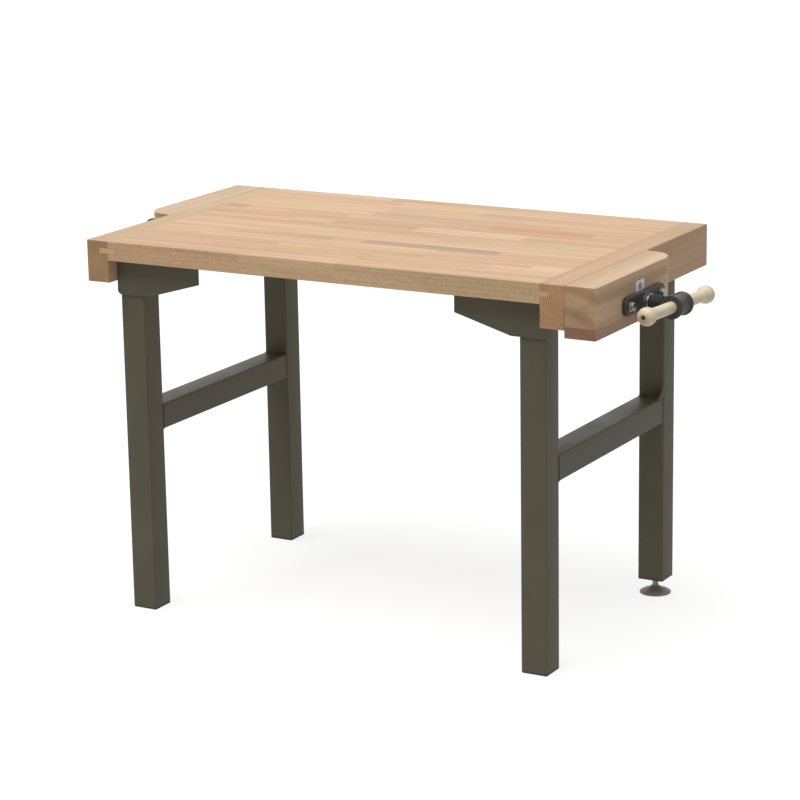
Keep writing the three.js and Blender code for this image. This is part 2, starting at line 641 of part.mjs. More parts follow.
// One row of an end's frame: a leg with its bracket, the bracket's screws and its foot.
function addLeg(end, name, row, hasLevellingFoot) {
  const bottom = hasLevellingFoot ? SHORT_LEG_END + INSERT_FLANGE : PLUG_FLANGE;
  add(end, `${name}_leg`, leg(row, bottom + GAP), MATERIALS.powderCoat);
  add(end, `${name}_bracket`, bracket(row), MATERIALS.powderCoat);
  woodScrewPlaces(row).forEach((place, i) =>
    add(end, `${name}_bracket_screw_${i + 1}`, woodScrew(place), MATERIALS.zincSteel),
  );
  if (hasLevellingFoot) {
    add(end, `${name}_foot_insert`, footInsert(row), MATERIALS.darkPlastic);
    add(end, `${name}_foot_stem`, footStem(row), MATERIALS.zincSteel);
    add(end, `${name}_foot_pad`, footPad(row), MATERIALS.darkPlastic);
  } else {
    add(end, `${name}_end_plug`, plugBody(row, 0, PLUG_FLANGE, PLUG_DEPTH), MATERIALS.darkPlastic);
  }
}

// One end of the bench. near is the row with the vice, and far the plain one.
function addEnd({ side, turn, near, far, levellingRow }) {
  const end = new THREE.Group();
  end.rotation.z = turn;
  add(end, `${side}_end_rail`, rail(), MATERIALS.railBeech);
  add(end, `${side}_tongue`, tongue(), MATERIALS.tongueBeech);
  addLeg(end, `${side}_${near}`, -1, levellingRow === near);
  addLeg(end, `${side}_${far}`, 1, levellingRow === far);
  add(end, `${side}_stretcher`, stretcher(), MATERIALS.powderCoat);
  add(end, `${side}_corner_gusset`, cornerGusset(), MATERIALS.powderCoat);
  addVice(end, side, near, far);
  bench.add(end);
}

add(bench, "top_panel", panel(), MATERIALS.panelBeech);
addEnd({ side: "right", turn: 0, near: "front", far: "back", levellingRow: "back" });
addEnd({ side: "left", turn: Math.PI, near: "back", far: "front", levellingRow: null });

export default bench;
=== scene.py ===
"""A small joiner's workbench for a classroom: a glued beech top between two deep end rails,
a screw vice at each of two opposite corners, and a welded frame of square steel tube under
each end, one of whose legs stands on a levelling foot.

Metres, +X to the right along the top, +Y to the back, +Z up. Every piece takes its place
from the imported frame. Sizes that only the looks need are fields of the classes below.
"""

from __future__ import annotations

import json
import logging
import math
from collections.abc import Sequence
from dataclasses import dataclass
from enum import Enum
from typing import Any

import bmesh
import bpy
import numpy as np
from mathutils import Matrix, Vector


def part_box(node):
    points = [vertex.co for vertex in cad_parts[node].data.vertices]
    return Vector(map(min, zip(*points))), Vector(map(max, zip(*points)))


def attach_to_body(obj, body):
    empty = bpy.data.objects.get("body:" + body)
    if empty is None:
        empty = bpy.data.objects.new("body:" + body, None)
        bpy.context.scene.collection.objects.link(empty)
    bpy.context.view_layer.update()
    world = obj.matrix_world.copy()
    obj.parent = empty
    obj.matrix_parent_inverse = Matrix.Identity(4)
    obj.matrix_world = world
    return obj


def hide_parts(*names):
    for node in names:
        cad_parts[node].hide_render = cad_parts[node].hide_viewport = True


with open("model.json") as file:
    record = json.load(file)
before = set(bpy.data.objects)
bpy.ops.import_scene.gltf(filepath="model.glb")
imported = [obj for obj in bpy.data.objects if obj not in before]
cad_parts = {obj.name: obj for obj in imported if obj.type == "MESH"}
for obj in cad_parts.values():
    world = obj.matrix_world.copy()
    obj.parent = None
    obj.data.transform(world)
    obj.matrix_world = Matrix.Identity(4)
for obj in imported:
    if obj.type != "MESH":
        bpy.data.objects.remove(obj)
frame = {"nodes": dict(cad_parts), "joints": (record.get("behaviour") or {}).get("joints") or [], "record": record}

MM = 0.001
NEAR = 0.05 * MM
# The gap between a shaft and the bore round it, and the radius at which the profile of a
# turned solid stops beside its axis, where a flat cap closes it.
CLEARANCE = 0.4 * MM
CORE = 1 * MM
# The two ends, each with the row that its vice is in and the other row.
ENDS = {"right": ("front", "back"), "left": ("back", "front")}
SMOOTH_ANGLE = math.radians(32)
log = logging.getLogger("workbench")


# ---------------------------------------------------------------------------- surfaces


@dataclass(frozen=True)
class Line:
    """A straight line that a shape is built along.

    Attributes:
        start: the point where distances along the line are zero.
        along: the line's direction.
    """

    start: tuple[float, float, float]
    along: tuple[float, float, float] = (0, 0, 1)

    def at(self, side: np.ndarray, up: np.ndarray, out: np.ndarray) -> np.ndarray:
        """Gives the points at some distances from the line's start.

        The two sideways directions are at right angles to the line. On a level line the
        second one is as near to vertical as it can be.

        Args:
            side: distances in the first sideways direction.
            up: distances in the second one.
            out: distances along the line.

        Returns:
            One point for each set of distances, in a last axis of three.
        """
        axis = np.array(self.along, float)
        axis /= np.linalg.norm(axis)
        upright = abs(axis[2]) > 0.99
        first = np.array((axis[2], 0.0, 0.0)) if upright else np.cross((0, 0, 1), axis)
        first /= np.linalg.norm(first)
        ways = (first, np.cross(axis, first), axis)
        parts = np.broadcast_arrays(side, up, out)
        return np.array(self.start) + sum(part[..., None] * way for part, way in zip(parts, ways))


@dataclass(frozen=True)
class Shell:
    """The points and faces of one or more closed surfaces.

    Attributes:
        points: one row of x, y and z for each vertex.
        faces: arrays of vertex numbers, each with one row for each face.
    """

    points: np.ndarray
    faces: tuple[np.ndarray, ...]

    def __add__(self, other: Shell) -> Shell:
        """Puts two shells into one piece."""
        moved = tuple(rows + len(self.points) for rows in other.faces)
        return Shell(np.vstack((self.points, other.points)), self.faces + moved)


def around(sides: int) -> np.ndarray:
    """Gives the angles of points that stand evenly round a circle."""
    return np.linspace(0, 2 * math.pi, sides, endpoint=False)


def polar(radius: np.ndarray | float, angle: np.ndarray) -> np.ndarray:
    """Gives flat points, as rows of radius times cosine and radius times sine."""
    return np.stack((radius * np.cos(angle), radius * np.sin(angle)), axis=-1)


def skin(rings: np.ndarray, closed: bool = False) -> Shell:
    """Covers a row of rings, each with the same number of points, with four-sided faces.

    Face (i, j) joins points j and j + 1 of ring i to those of ring i + 1, where j + 1 comes
    round to the start again.

    Args:
        rings: the points, as an array of rings by points by three.
        closed: whether the last ring joins the first. If it doesn't, both are capped flat.

    Returns:
        The closed surface.
    """
    count, sides = rings.shape[:2]
    low = np.arange(count * sides).reshape(count, sides)
    high = np.roll(low, -1, axis=0)
    quads = np.stack((low, np.roll(low, -1, axis=1), np.roll(high, -1, axis=1), high), axis=-1)
    if closed:
        return Shell(rings.reshape(-1, 3), (quads.reshape(-1, 4),))
    return Shell(rings.reshape(-1, 3), (quads[:-1].reshape(-1, 4), low[:1, ::-1], low[-1:]))


def rounded(corners: list[tuple[float, float]], radius: float, steps: int = 4) -> np.ndarray:
    """Rounds the inner corners of an open run of straight stretches with arcs.

    At each corner the arc touches both stretches, so its centre lies on the line that halves
    the corner, at the radius over the sine of half the angle.

    Args:
        corners: the run's points.
        radius: the arcs' radius, made smaller where a stretch is too short for it.
        steps: how many stretches an arc is drawn with.

    Returns:
        The run's points, with each corner but the first and last replaced by an arc.
    """
    run = np.array(corners, float)
    made = [run[:1]]
    t = np.linspace(0, 1, steps + 1)[:, None]
    for before, corner, after in zip(run[:-2], run[1:-1], run[2:]):
        back, onward = before - corner, after - corner
        room = min(np.linalg.norm(back), np.linalg.norm(onward)) * 0.49
        back, onward = back / np.linalg.norm(back), onward / np.linalg.norm(onward)
        half = math.acos(float(np.clip(back @ onward, -1, 1))) / 2
        if half > math.radians(88):
            made.append(corner[None])
            continue
        size = min(radius, room * math.tan(half))
        middle = (back + onward) / np.linalg.norm(back + onward)
        centre = corner + middle * size / math.sin(half)
        first = corner + back * size / math.tan(half) - centre
        last = corner + onward * size / math.tan(half) - centre
        sweep = math.pi - 2 * half
        arc = (np.sin((1 - t) * sweep) * first + np.sin(t * sweep) * last) / math.sin(sweep)
        made.append(centre + arc)
    return np.vstack((*made, run[-1:]))


def turned(profile: Any, line: Line, sides: int = 64, ease: float = 0.0, bored: bool = False) -> Shell:
    """Turns a profile round a line, as a lathe does.

    A point at radius r and angle a stands r cos a to one side and r sin a to the other.

    Args:
        profile: rows of radius and distance along the line.
        line: the line it is turned round.
        sides: how many points a ring has.
        ease: the radius that its corners are rounded to, or 0 to leave them.
        bored: whether the profile's end joins its start, which leaves a bore.

    Returns:
        The turned surface.
    """
    profile = rounded(profile, ease) if ease else np.array(profile)
    ring = polar(profile[:, :1], around(sides))
    return skin(line.at(ring[..., 0], ring[..., 1], profile[:, 1:]), bored)


def rectangle(width: float, height: float, radius: float, corner_steps: int = 6) -> np.ndarray:
    """Gives the points of a rectangle with round corners, about its own middle.

    Each point is a corner's centre plus the radius in a direction that goes once round.

    Args:
        width: the first side.
        height: the second side.
        radius: the corners' radius.
        corner_steps: how many stretches a corner is drawn with.

    Returns:
        Rows of two distances, going round from the first corner.
    """
    radius = max(radius, 0.01 * MM)
    quarter = np.linspace(0, math.pi / 2, corner_steps + 1)
    angle = (quarter + np.arange(4)[:, None] * math.pi / 2).ravel()
    signs = np.repeat([[1, 1], [-1, 1], [-1, -1], [1, -1]], corner_steps + 1, axis=0)
    return signs * (width / 2 - radius, height / 2 - radius) + polar(radius, angle)


def stacked(rings: list[tuple[np.ndarray, float]], line: Line, closed: bool = False) -> Shell:
    """Skins flat rings that stand at given distances along a line.

    Args:
        rings: for each ring, its rows of two sideways distances, and its place on the line.
        line: the line that they stand on.
        closed: whether the last ring joins the first.

    Returns:
        The closed surface.
    """
    placed = [line.at(ring[:, 0], ring[:, 1], np.array(out)) for ring, out in rings]
    return skin(np.array(placed), closed)


def threaded(radius: float, thread: tuple[float, float], length: float, line: Line) -> Shell:
    """A screw thread cut into a rod, right-handed, with flat crests and roots.

    The radius falls from the crest by the depth times a wave of the distance along the rod
    in pitches, less the angle in turns. Clipping the wave makes the flats.

    Args:
        radius: the crest's radius.
        thread: the distance from one turn to the next, and how far the root lies below the
            crest, both in millimetres.
        length: the thread's length from the line's start.
        line: the rod's centre line.

    Returns:
        The threaded surface, with both ends run out to the root.
    """
    pitch, depth = thread[0] * MM, thread[1] * MM
    steps_in_pitch, sides = 8, 40
    out = np.linspace(0, length, int(length / pitch * steps_in_pitch) + 1)[:, None]
    angle = around(sides)
    wave = 0.5 - 0.8 * np.cos(2 * math.pi * out / pitch - angle)
    run_out = np.clip(np.minimum(out, length - out) / pitch, 0, 1)
    ring_radius = radius - depth + depth * np.clip(wave, 0, 1) * run_out
    return skin(line.at(ring_radius * np.cos(angle), ring_radius * np.sin(angle), out))


# ------------------------------------------------------------------------------ pieces


def linked(piece: bpy.types.Object) -> bpy.types.Object:
    """Links a piece to the scene and smooths it between its sharp edges.

    Args:
        piece: the object.

    Returns:
        The same object.
    """
    bpy.context.scene.collection.objects.link(piece)
    piece.data.polygons.foreach_set("use_smooth", [True] * len(piece.data.polygons))
    piece.data.set_sharp_from_angle(angle=SMOOTH_ANGLE)
    return piece


def piece_from(name: str, shell: Shell) -> bpy.types.Object:
    """Makes an object of a shell, with its faces outwards and only its sharp edges sharp.

    Args:
        name: the object's name.
        shell: its surface.

    Returns:
        The object, at the origin.
    """
    mesh = bpy.data.meshes.new(name)
    faces = [face for rows in shell.faces for face in rows.tolist()]
    mesh.from_pydata(shell.points.tolist(), [], faces)
    work = bmesh.new()
    work.from_mesh(mesh)
    bmesh.ops.recalc_face_normals(work, faces=work.faces)
    work.to_mesh(mesh)
    work.free()
    return linked(bpy.data.objects.new(name, mesh))


def ease_edges(piece: bpy.types.Object, width: float) -> bpy.types.Object:
    """Rounds off the edges of a piece that have a bevel weight.

    Args:
        piece: the object.
        width: how wide the rounding is.

    Returns:
        The same object.
    """
    bevel = piece.modifiers.new("Eased edges", "BEVEL")
    bevel.width = width
    bevel.segments = 3
    bevel.limit_method = "WEIGHT"
    bevel.loop_slide = False
    bevel.harden_normals = True
    return piece


def eased_copy(
    name: str, node: str, ease: float, joints: tuple[tuple[int, float], ...] = ()
) -> bpy.types.Object:
    """Copies a piece of the frame and eases the edges that a hand would meet.

    An edge is eased if it is sharp and lies round the top or the bottom, or is long, as the
    uprights at a board's corners are. Rims of bores stay sharp, and so do glued joints.

    Args:
        name: the copy's name.
        node: the piece of the frame.
        ease: the easing's width.
        joints: the glued joints, each as the axis that it lies across and its place on it.

    Returns:
        The copy.
    """
    low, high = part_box(node)
    mesh = frame["nodes"][node].data.copy()
    mesh.name = name
    mesh.materials.clear()
    work = bmesh.new()
    work.from_mesh(mesh)
    bmesh.ops.remove_doubles(work, verts=work.verts, dist=0.01 * MM)
    bmesh.ops.dissolve_limit(work, angle_limit=math.radians(1), verts=work.verts, edges=work.edges)
    weight = work.edges.layers.float.new("bevel_weight_edge")
    long_edge = 24 * MM
    for edge in work.edges:
        level, glued = (
            any(all(abs(v.co[axis] - place) < NEAR for v in edge.verts) for axis, place in planes)
            for planes in (((2, low.z), (2, high.z)), joints)
        )
        sharp = edge.is_manifold and edge.calc_face_angle() > SMOOTH_ANGLE
        edge[weight] = float(sharp and (level or edge.calc_length() > long_edge) and not glued)
    work.to_mesh(mesh)
    work.free()
    return ease_edges(linked(bpy.data.objects.new(name, mesh)), ease)


def size_of(node: str) -> Vector:
    """Gives a node's size along X, Y and Z."""
    low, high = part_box(node)
    return high - low


def upright(node: str) -> Line:
    """Gives the upright line through a node's middle, from its foot."""
    low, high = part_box(node)
    return Line(((low.x + high.x) / 2, (low.y + high.y) / 2, low.z))


def body_of(node: str) -> str:
    """Names the body that a node of the frame rides on."""
    bodies = frame["record"]["behaviour"]["bodies"]
    return next(body for body, nodes in bodies.items() if node in nodes)


def dress(piece: bpy.types.Object, finish: Finish, node: str) -> None:
    """Gives a piece its finish and puts it in the place of the node that it stands for.

    Args:
        piece: the new piece.
        finish: its finish.
        node: the node of the frame that it replaces and rides with.
    """
    piece.data.materials.append(finish.material())
    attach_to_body(piece, body_of(node))
    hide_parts(node)
    log.info("%s stands for %s", piece.name, node)


def attach(piece: bpy.types.Object, finish: Finish, body: str) -> None:
    """Gives a finish and a body to a piece that stands for no node of the frame.

    Args:
        piece: the new piece.
        finish: its finish.
        body: the body that it rides on.
    """
    piece.data.materials.append(finish.material())
    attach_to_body(piece, body)
    log.info("%s is fixed to %s", piece.name, body)


def keep(node: str, finish: Finish) -> None:
    """Shows a node of the frame as it is, with a finish of its own.

    Args:
        node: the node.
        finish: its finish.
    """
    piece = frame["nodes"][node]
    piece.data.materials.clear()
    piece.data.materials.append(finish.material())
    log.info("%s is kept", node)


def joint_named(name: str) -> dict[str, Any]:
    """Gives the frame's joint of a name."""
    return next(joint for joint in frame["joints"] if joint["name"] == name)


# ---------------------------------------------------------------------------- finishes


def linear(code: str) -> tuple[float, float, float, float]:
    """Turns an sRGB colour into the linear values that shaders read.

    Args:
        code: the colour, such as "#cba67d".

    Returns:
        Red, green, blue and an alpha of 1.
    """
    values = [int(code[i : i + 2], 16) / 255 for i in (1, 3, 5)]
    bent = [v / 12.92 if v <= 0.04045 else ((v + 0.055) / 1.055) ** 2.4 for v in values]
    return (*bent, 1.0)


def add_node(tree: bpy.types.NodeTree, kind: str, inputs: Any, output: int | str = 0, **settings: Any) -> Any:
    """Adds a shader node with its settings and links.

    Args:
        tree: the node tree.
        kind: the node's type without its first words, such as "TexNoise".
        inputs: the sockets or values that feed it, in its inputs' order, or by name or number.
        output: the name or number of the output that is wanted.
        settings: the node's own settings.

    Returns:
        The output's socket. Its node attribute leads to the other outputs.
    """
    node = tree.nodes.new(f"ShaderNode{kind}")
    for key, value in settings.items():
        setattr(node, key, value)
    for key, value in inputs.items() if isinstance(inputs, dict) else enumerate(inputs):
        if isinstance(value, bpy.types.NodeSocket):
            tree.links.new(value, node.inputs[key])
        else:
            node.inputs[key].default_value = value
    return node.outputs[output]


# The inputs and the output of a Mix node that mixes colours, and its setting.
SHARE, BELOW, ABOVE, MIXED = 0, 6, 7, 2
COLOURS = {"data_type": "RGBA"}

# A wave texture of scale 1 comes round once in this many metres.
WAVE = math.pi / 10


@dataclass(frozen=True)
class Finish:
    """What every finish has.

    Attributes:
        name: the finish's name, which its material takes.
    """

    name: str

    def material(self) -> bpy.types.Material:
        """Gives the finish's material, made the first time that it is asked for.

        Returns:
            The material.
        """
        made = bpy.data.materials.get(self.name)
        if made is None:
            made = bpy.data.materials.new(self.name)
            made.use_nodes = True
            self.wire(made.node_tree, made.node_tree.nodes["Principled BSDF"])
        return made

    def wire(self, tree: bpy.types.NodeTree, shader: bpy.types.Node) -> None:
        """Sets the shader up. Each finish has its own way.

        Args:
            tree: the material's node tree.
            shader: its principled shader.
        """
        raise NotImplementedError

    def feed(
        self, tree: bpy.types.NodeTree, shader: bpy.types.Node, colour: Any, dull: Any, relief: Any
    ) -> None:
        """Feeds a shader its three patterns.

        Args:
            tree: the material's node tree.
            shader: its principled shader.
            colour: the socket with the colour.
            dull: a pattern's socket, the range that it is read from, and the roughness at
                the start and the end of that range.
            relief: the Bump node's inputs.
        """
        tree.links.new(colour, shader.inputs["Base Color"])
        tree.links.new(add_node(tree, "MapRange", dull), shader.inputs["Roughness"])
        tree.links.new(add_node(tree, "Bump", relief), shader.inputs["Normal"])


class Grain(Enum):
    """Which way a board's fibres run: the axis, and how rings are named about it."""

    ALONG_X = (0, "X")
    ALONG_Y = (1, "Y")

    def stretch(self, drawn_out: float = 14) -> tuple[float, ...]:
        """Gives the scale that draws a round pattern out along the fibres."""
        return tuple(1 / drawn_out if axis == self.value[0] else 1.0 for axis in range(3))


@dataclass(frozen=True)
class Beech(Finish):
    """Planed and oiled beech. Growth rings are cylinders round the tree's heart, so a face
    shows stripes, flames or arcs, as it is cut. Rays show as short dark dashes, mostly
    on upright faces. Faces where the fibres end are darker: partly as real end grain, which
    soaks up more oil, and partly as painted shade that evens out the light on those faces.

    Attributes:
        early: the colour between the growth rings.
        late: the colour at a growth ring.
        ray: what the colour is multiplied by at a ray.
        end_grain_and_shade: what the colour is multiplied by where the fibres end, as real end grain that soaks up
            more oil and as painted shade on those faces.
        grain: the way that the fibres run.
        heart: where the tree's heart lies, as x, y and z in millimetres. The one along the
            fibres has no effect.
        ring_mm: from one growth ring to the next.
        ring_share: how strongly the rings show.
        end_rings: how many times more strongly they show where the fibres end.
        waver: how far the rings wander, in radians of their own wave.
        fibre_mm: from one fibre to the next. Real ones are finer, and are drawn at this so
            that they show.
        cloud_mm: the size of the soft light and dark patches.
        ray_mm: from one ray to the next.
        ray_share: how strongly the rays show.
        roughness: how dull the oiled wood is.
        from_staves: whether each stave's own colour and place in the tree are read from the
            mesh, in place of the early colour.
    """

    early: str = "#cba67d"
    late: str = "#b98d63"
    ray: str = "#a5744a"
    end_grain_and_shade: str = "#dad0c6"
    grain: Grain = Grain.ALONG_Y
    heart: tuple[float, float, float] = (0, 0, 0)
    ring_mm: float = 4.0
    ring_share: float = 0.5
    end_rings: float = 1.0
    waver: float = 5.0
    fibre_mm: float = 1.3
    cloud_mm: float = 1000 / 26
    ray_mm: float = 1.6
    ray_share: float = 0.22
    roughness: float = 0.48
    from_staves: bool = False

    def wire(self, tree: bpy.types.NodeTree, shader: bpy.types.Node) -> None:
        """Wires the wood.

        Args:
            tree: the material's node tree.
            shader: its principled shader.
        """
        coordinates = add_node(tree, "TexCoord", ()).node.outputs
        place, colour = coordinates["Object"], linear(self.early)
        if self.from_staves:
            shift = add_node(tree, "Attribute", (), "Vector", attribute_name=STAVE_PLACE)
            place = add_node(tree, "VectorMath", (place, shift), operation="ADD")
            colour = add_node(tree, "Attribute", (), "Color", attribute_name=STAVE_COLOUR)
        axis, ring_way = self.grain.value
        centre = Vector(self.heart) * -MM
        centre[axis] = 0
        about = {"Vector": place, "Location": centre, "Scale": self.grain.stretch()}
        ring = {"Vector": add_node(tree, "Mapping", about), "Scale": WAVE / (self.ring_mm * MM)}
        ring |= {"Distortion": self.waver, "Detail": 2.0, "Detail Scale": 0.12}
        rings = add_node(tree, "TexWave", ring, "Fac", wave_type="RINGS", rings_direction=ring_way)
        drawn = add_node(tree, "Mapping", {"Vector": place, "Scale": self.grain.stretch()})
        fibre = {"Vector": drawn, "Scale": 1 / (self.fibre_mm * MM), "Detail": 3.0}
        fibres = add_node(tree, "TexNoise", fibre)
        clouds = add_node(tree, "TexNoise", fibre | {"Scale": 1 / (self.cloud_mm * MM)})
        # Rays are under a millimetre wide. They are drawn further apart so that they show.
        cells = add_node(tree, "Mapping", {"Vector": place, "Scale": self.grain.stretch(14 / 3)})
        near = add_node(tree, "TexVoronoi", {"Vector": cells, "Scale": 1 / (self.ray_mm * MM)})
        dots = add_node(tree, "MapRange", (near, 0.12, 0.34, 1, 0))
        facing = add_node(tree, "SeparateXYZ", (coordinates["Normal"],)).node.outputs
        level = add_node(tree, "Math", (facing["Z"],), operation="ABSOLUTE")
        seen = add_node(tree, "MapRange", (level, 0, 1, self.ray_share, self.ray_share * 0.3))
        rays = add_node(tree, "Math", (dots, seen), operation="MULTIPLY")
        # Faces where the fibres end are multiplied by the end grain colour below: partly real end grain, which
        # soaks up more oil, and partly painted shade that evens out the light on those faces.
        end_on = add_node(tree, "Math", (facing[axis],), operation="ABSOLUTE")
        ends = add_node(tree, "MapRange", (end_on, 0.6, 0.95, 0, 1))
        line = add_node(tree, "MapRange", (rings, 0.35, 1, 0, 1))
        end_share = self.ring_share * self.end_rings
        strength = add_node(tree, "MapRange", (ends, 0, 1, self.ring_share, end_share))
        ring_line = add_node(tree, "Math", (line, strength), operation="MULTIPLY")
        for share, tint, how in (
            (ring_line, linear(self.late), "MULTIPLY" if self.from_staves else "MIX"),
            (1.0, add_node(tree, "MapRange", (clouds, 0.3, 0.7, 0.84, 1.1)), "MULTIPLY"),
            (1.0, add_node(tree, "MapRange", (fibres, 0.25, 0.75, 0.9, 1.08)), "MULTIPLY"),
            (rays, linear(self.ray), "MULTIPLY"),
            (ends, linear(self.end_grain_and_shade), "MULTIPLY"),
        ):
            layers = {SHARE: share, BELOW: colour, ABOVE: tint}
            colour = add_node(tree, "Mix", layers, MIXED, blend_type=how, **COLOURS)
        dull = (fibres, 0.2, 0.8, self.roughness - 0.05, self.roughness + 0.08)
        relief = {"Height": fibres, "Strength": 0.25, "Distance": 0.15 * MM}
        self.feed(tree, shader, colour, dull, relief)
        shader.inputs["Specular IOR Level"].default_value = 0.25


@dataclass(frozen=True)
class Grainy(Finish):
    """A coat or a moulding of one colour whose surface has a fine even grain.

    Attributes:
        colour: the coat's colour.
        drift: a second colour that it drifts to in soft clouds.
        roughness: how dull it is.
        grain_mm: from one bump of the grain to the next. Real ones are finer, and are drawn
            at this so that they show.
        depth_mm: how deep the grain is.
        metallic: 1 for bare metal, and 0 for a coat or plastic.
        ior: the coat's refractive index. Bare metal keeps the usual one.
        cloud_mm: the size of the clouds.
    """

    colour: str
    drift: str
    roughness: float = 0.4
    grain_mm: float = 1.2
    depth_mm: float = 0.02
    metallic: float = 0.0
    ior: float = 1.5
    cloud_mm: float = 90.0

    def wire(self, tree: bpy.types.NodeTree, shader: bpy.types.Node) -> None:
        """Wires the coat.

        Args:
            tree: the material's node tree.
            shader: its principled shader.
        """
        place = add_node(tree, "TexCoord", (), "Object")
        cloud = {"Vector": place, "Scale": 1 / (self.cloud_mm * MM), "Detail": 4.0}
        clouds = add_node(tree, "TexNoise", cloud)
        share = add_node(tree, "MapRange", (clouds, 0.35, 0.65, 0, 1))
        layers = {SHARE: share, BELOW: linear(self.colour), ABOVE: linear(self.drift)}
        colour = add_node(tree, "Mix", layers, MIXED, **COLOURS)
        grain = {"Vector": place, "Scale": 1 / (self.grain_mm * MM), "Detail": 2.0}
        dull = (clouds, 0.3, 0.7, self.roughness - 0.04, self.roughness + 0.06)
        relief = {"Strength": 0.6, "Distance": self.depth_mm * MM}
        self.feed(tree, shader, colour, dull, relief | {"Height": add_node(tree, "TexNoise", grain)})
        shader.inputs["Metallic"].default_value = self.metallic
        if not self.metallic:
            shader.inputs["IOR"].default_value = self.ior


@dataclass(frozen=True)
class TurnedSteel(Finish):
    """Bright steel off the lathe. Fine tool marks run round it, so it glints in rings.

    Attributes:
        colour: the steel's colour.
        stain: the colour that it drifts to in small clouds.
        roughness: how dull it is.
        mark_mm: from one tool mark to the next. Real ones are finer, and are drawn at this
            so that they show.
        across: the axis that the marks stand across.
    """

    colour: str = "#c4c6c6"
    stain: str = "#9fa09e"
    roughness: float = 0.24
    mark_mm: float = 0.7
    across: str = "X"

    def wire(self, tree: bpy.types.NodeTree, shader: bpy.types.Node) -> None:
        """Wires the steel.

        Args:
            tree: the material's node tree.
            shader: its principled shader.
        """
        place = add_node(tree, "TexCoord", (), "Object")
        mark = {"Vector": place, "Scale": WAVE / (self.mark_mm * MM), "Distortion": 1.5}
        marks = add_node(tree, "TexWave", mark, "Fac", wave_type="BANDS", bands_direction=self.across)
        stains = add_node(tree, "TexNoise", {"Vector": place, "Scale": 60.0, "Detail": 4.0})
        share = add_node(tree, "MapRange", (stains, 0.4, 0.7, 0, 1))
        layers = {SHARE: share, BELOW: linear(self.colour), ABOVE: linear(self.stain)}
        colour = add_node(tree, "Mix", layers, MIXED, **COLOURS)
        dull = (marks, 0, 1, self.roughness - 0.04, self.roughness + 0.06)
        self.feed(tree, shader, colour, dull, {"Height": marks, "Strength": 0.3, "Distance": 0.02 * MM})
        shader.inputs["Metallic"].default_value = 1.0


@dataclass(frozen=True)
class PrintedFilm(Finish):
    """A small plain paper label: pale, with a blue disc printed on its middle.

    Attributes:
        middle: the disc's middle, in metres.
        paper: the paper's colour.
        ink: the printed disc's colour.
        disc_mm: the disc's radius.
    """

    middle: tuple[float, float, float]
    paper: str = "#e4ebf3"
    ink: str = "#3a68a8"
    disc_mm: float = 6.5

    def wire(self, tree: bpy.types.NodeTree, shader: bpy.types.Node) -> None:
        """Wires the label.

        Args:
            tree: the material's node tree.
            shader: its principled shader.
        """
        place = add_node(tree, "TexCoord", (), "Object")
        apart = add_node(tree, "VectorMath", (place, self.middle), "Value", operation="DISTANCE")
        reach = self.disc_mm * MM
        printed = add_node(tree, "MapRange", (apart, reach, reach + 0.2 * MM, 1, 0))
        speckle = add_node(tree, "TexNoise", {"Vector": place, "Scale": 900.0})
        gaps = add_node(tree, "MapRange", (speckle, 0.3, 0.7, 0, 0.3))
        layers = {SHARE: gaps, BELOW: linear(self.ink), ABOVE: linear(self.paper)}
        ink = add_node(tree, "Mix", layers, MIXED, **COLOURS)
        layers = {SHARE: printed, BELOW: linear(self.paper), ABOVE: ink}
        tree.links.new(add_node(tree, "Mix", layers, MIXED, **COLOURS), shader.inputs["Base Color"])
        shader.inputs["Roughness"].default_value = 0.35


STAVE_PLACE = "stave_place"
STAVE_COLOUR = "stave_colour"

# Planed and oiled: the eye sees a warm satin patchwork, each stave of its own tone, with
# faint growth lines, and small dark dashes along the front edge. Real rings are 2 to 5 mm
# apart, and are drawn further apart here so that they show.
STAVE_BEECH = Beech(
    "planed and oiled beech staves", late="#dcc6a8", end_grain_and_shade="#ffffff", grain=Grain.ALONG_X,
    ring_mm=8, ring_share=0.2, waver=11, ray_share=0.52, from_staves=True,
)
# Sawn across and sanded: the rails' ends show close brown lines, and their long faces
# stay calm.
RAIL_BEECH = {
    "right": Beech(
        "sanded beech right end rail", early="#c09d7b", late="#7d5230", end_grain_and_shade="#fff6ec",
        heart=(325, 0, 698), ring_mm=3.9, ring_share=0.05, end_rings=13, waver=1.5,
    ),
    "left": Beech(
        "sanded beech left end rail", early="#c9a984", heart=(-620, 0, 540), ring_mm=6.6,
        ring_share=0.1, end_rings=2,
    ),
}
# Cut near the bark and planed: growth shows as a few broad soft bands. One band stands for
# several real rings, which are too close to show.
# The jaws' end grain colour darkens their front and back faces: partly real end grain, and partly painted shade.
JAW_BEECH = {
    side: Beech(
        f"planed beech {side} vice jaw", early=early, late="#a98260", end_grain_and_shade="#e0d8cf",
        heart=(place, 0, 560), ring_mm=39, waver=7,
    )
    for side, place, early in (("right", 470, "#cfb08f"), ("left", -530, "#e1c5a6"))
}
# Heartwood is redder and darker than the rest, and gives the jaw's foot a brown stripe.
HEART_BEECH = Beech(
    "planed beech heartwood", early="#b58f75", late="#a37c62", heart=(520, 0, 585), ring_mm=5,
)
# Its end is sawn and sanded, and shows as a pale bar in the darker rail.
TONGUE_BEECH = Beech(
    "sanded beech tongue", early="#cfac82", late="#be966b", end_grain_and_shade="#ffffff", grain=Grain.ALONG_X,
)
# Turned and waxed: pale and a little glossier than the boards, with a long soft highlight.
HANDLE_WOOD = Beech(
    "turned and waxed pale handle wood", early="#e3d4b8", late="#d2bd98", end_grain_and_shade="#ddd2c2",
    heart=(605, 0, 640), ring_mm=3.4, ray_share=0.12, roughness=0.32,
)
# Sprayed as powder and baked: an even olive grey with a dim sheen and a slight orange peel.
POWDER_COAT = Grainy("baked olive grey powder coat", "#575240", "#5c5746", 0.46, grain_mm=2, ior=1.42)
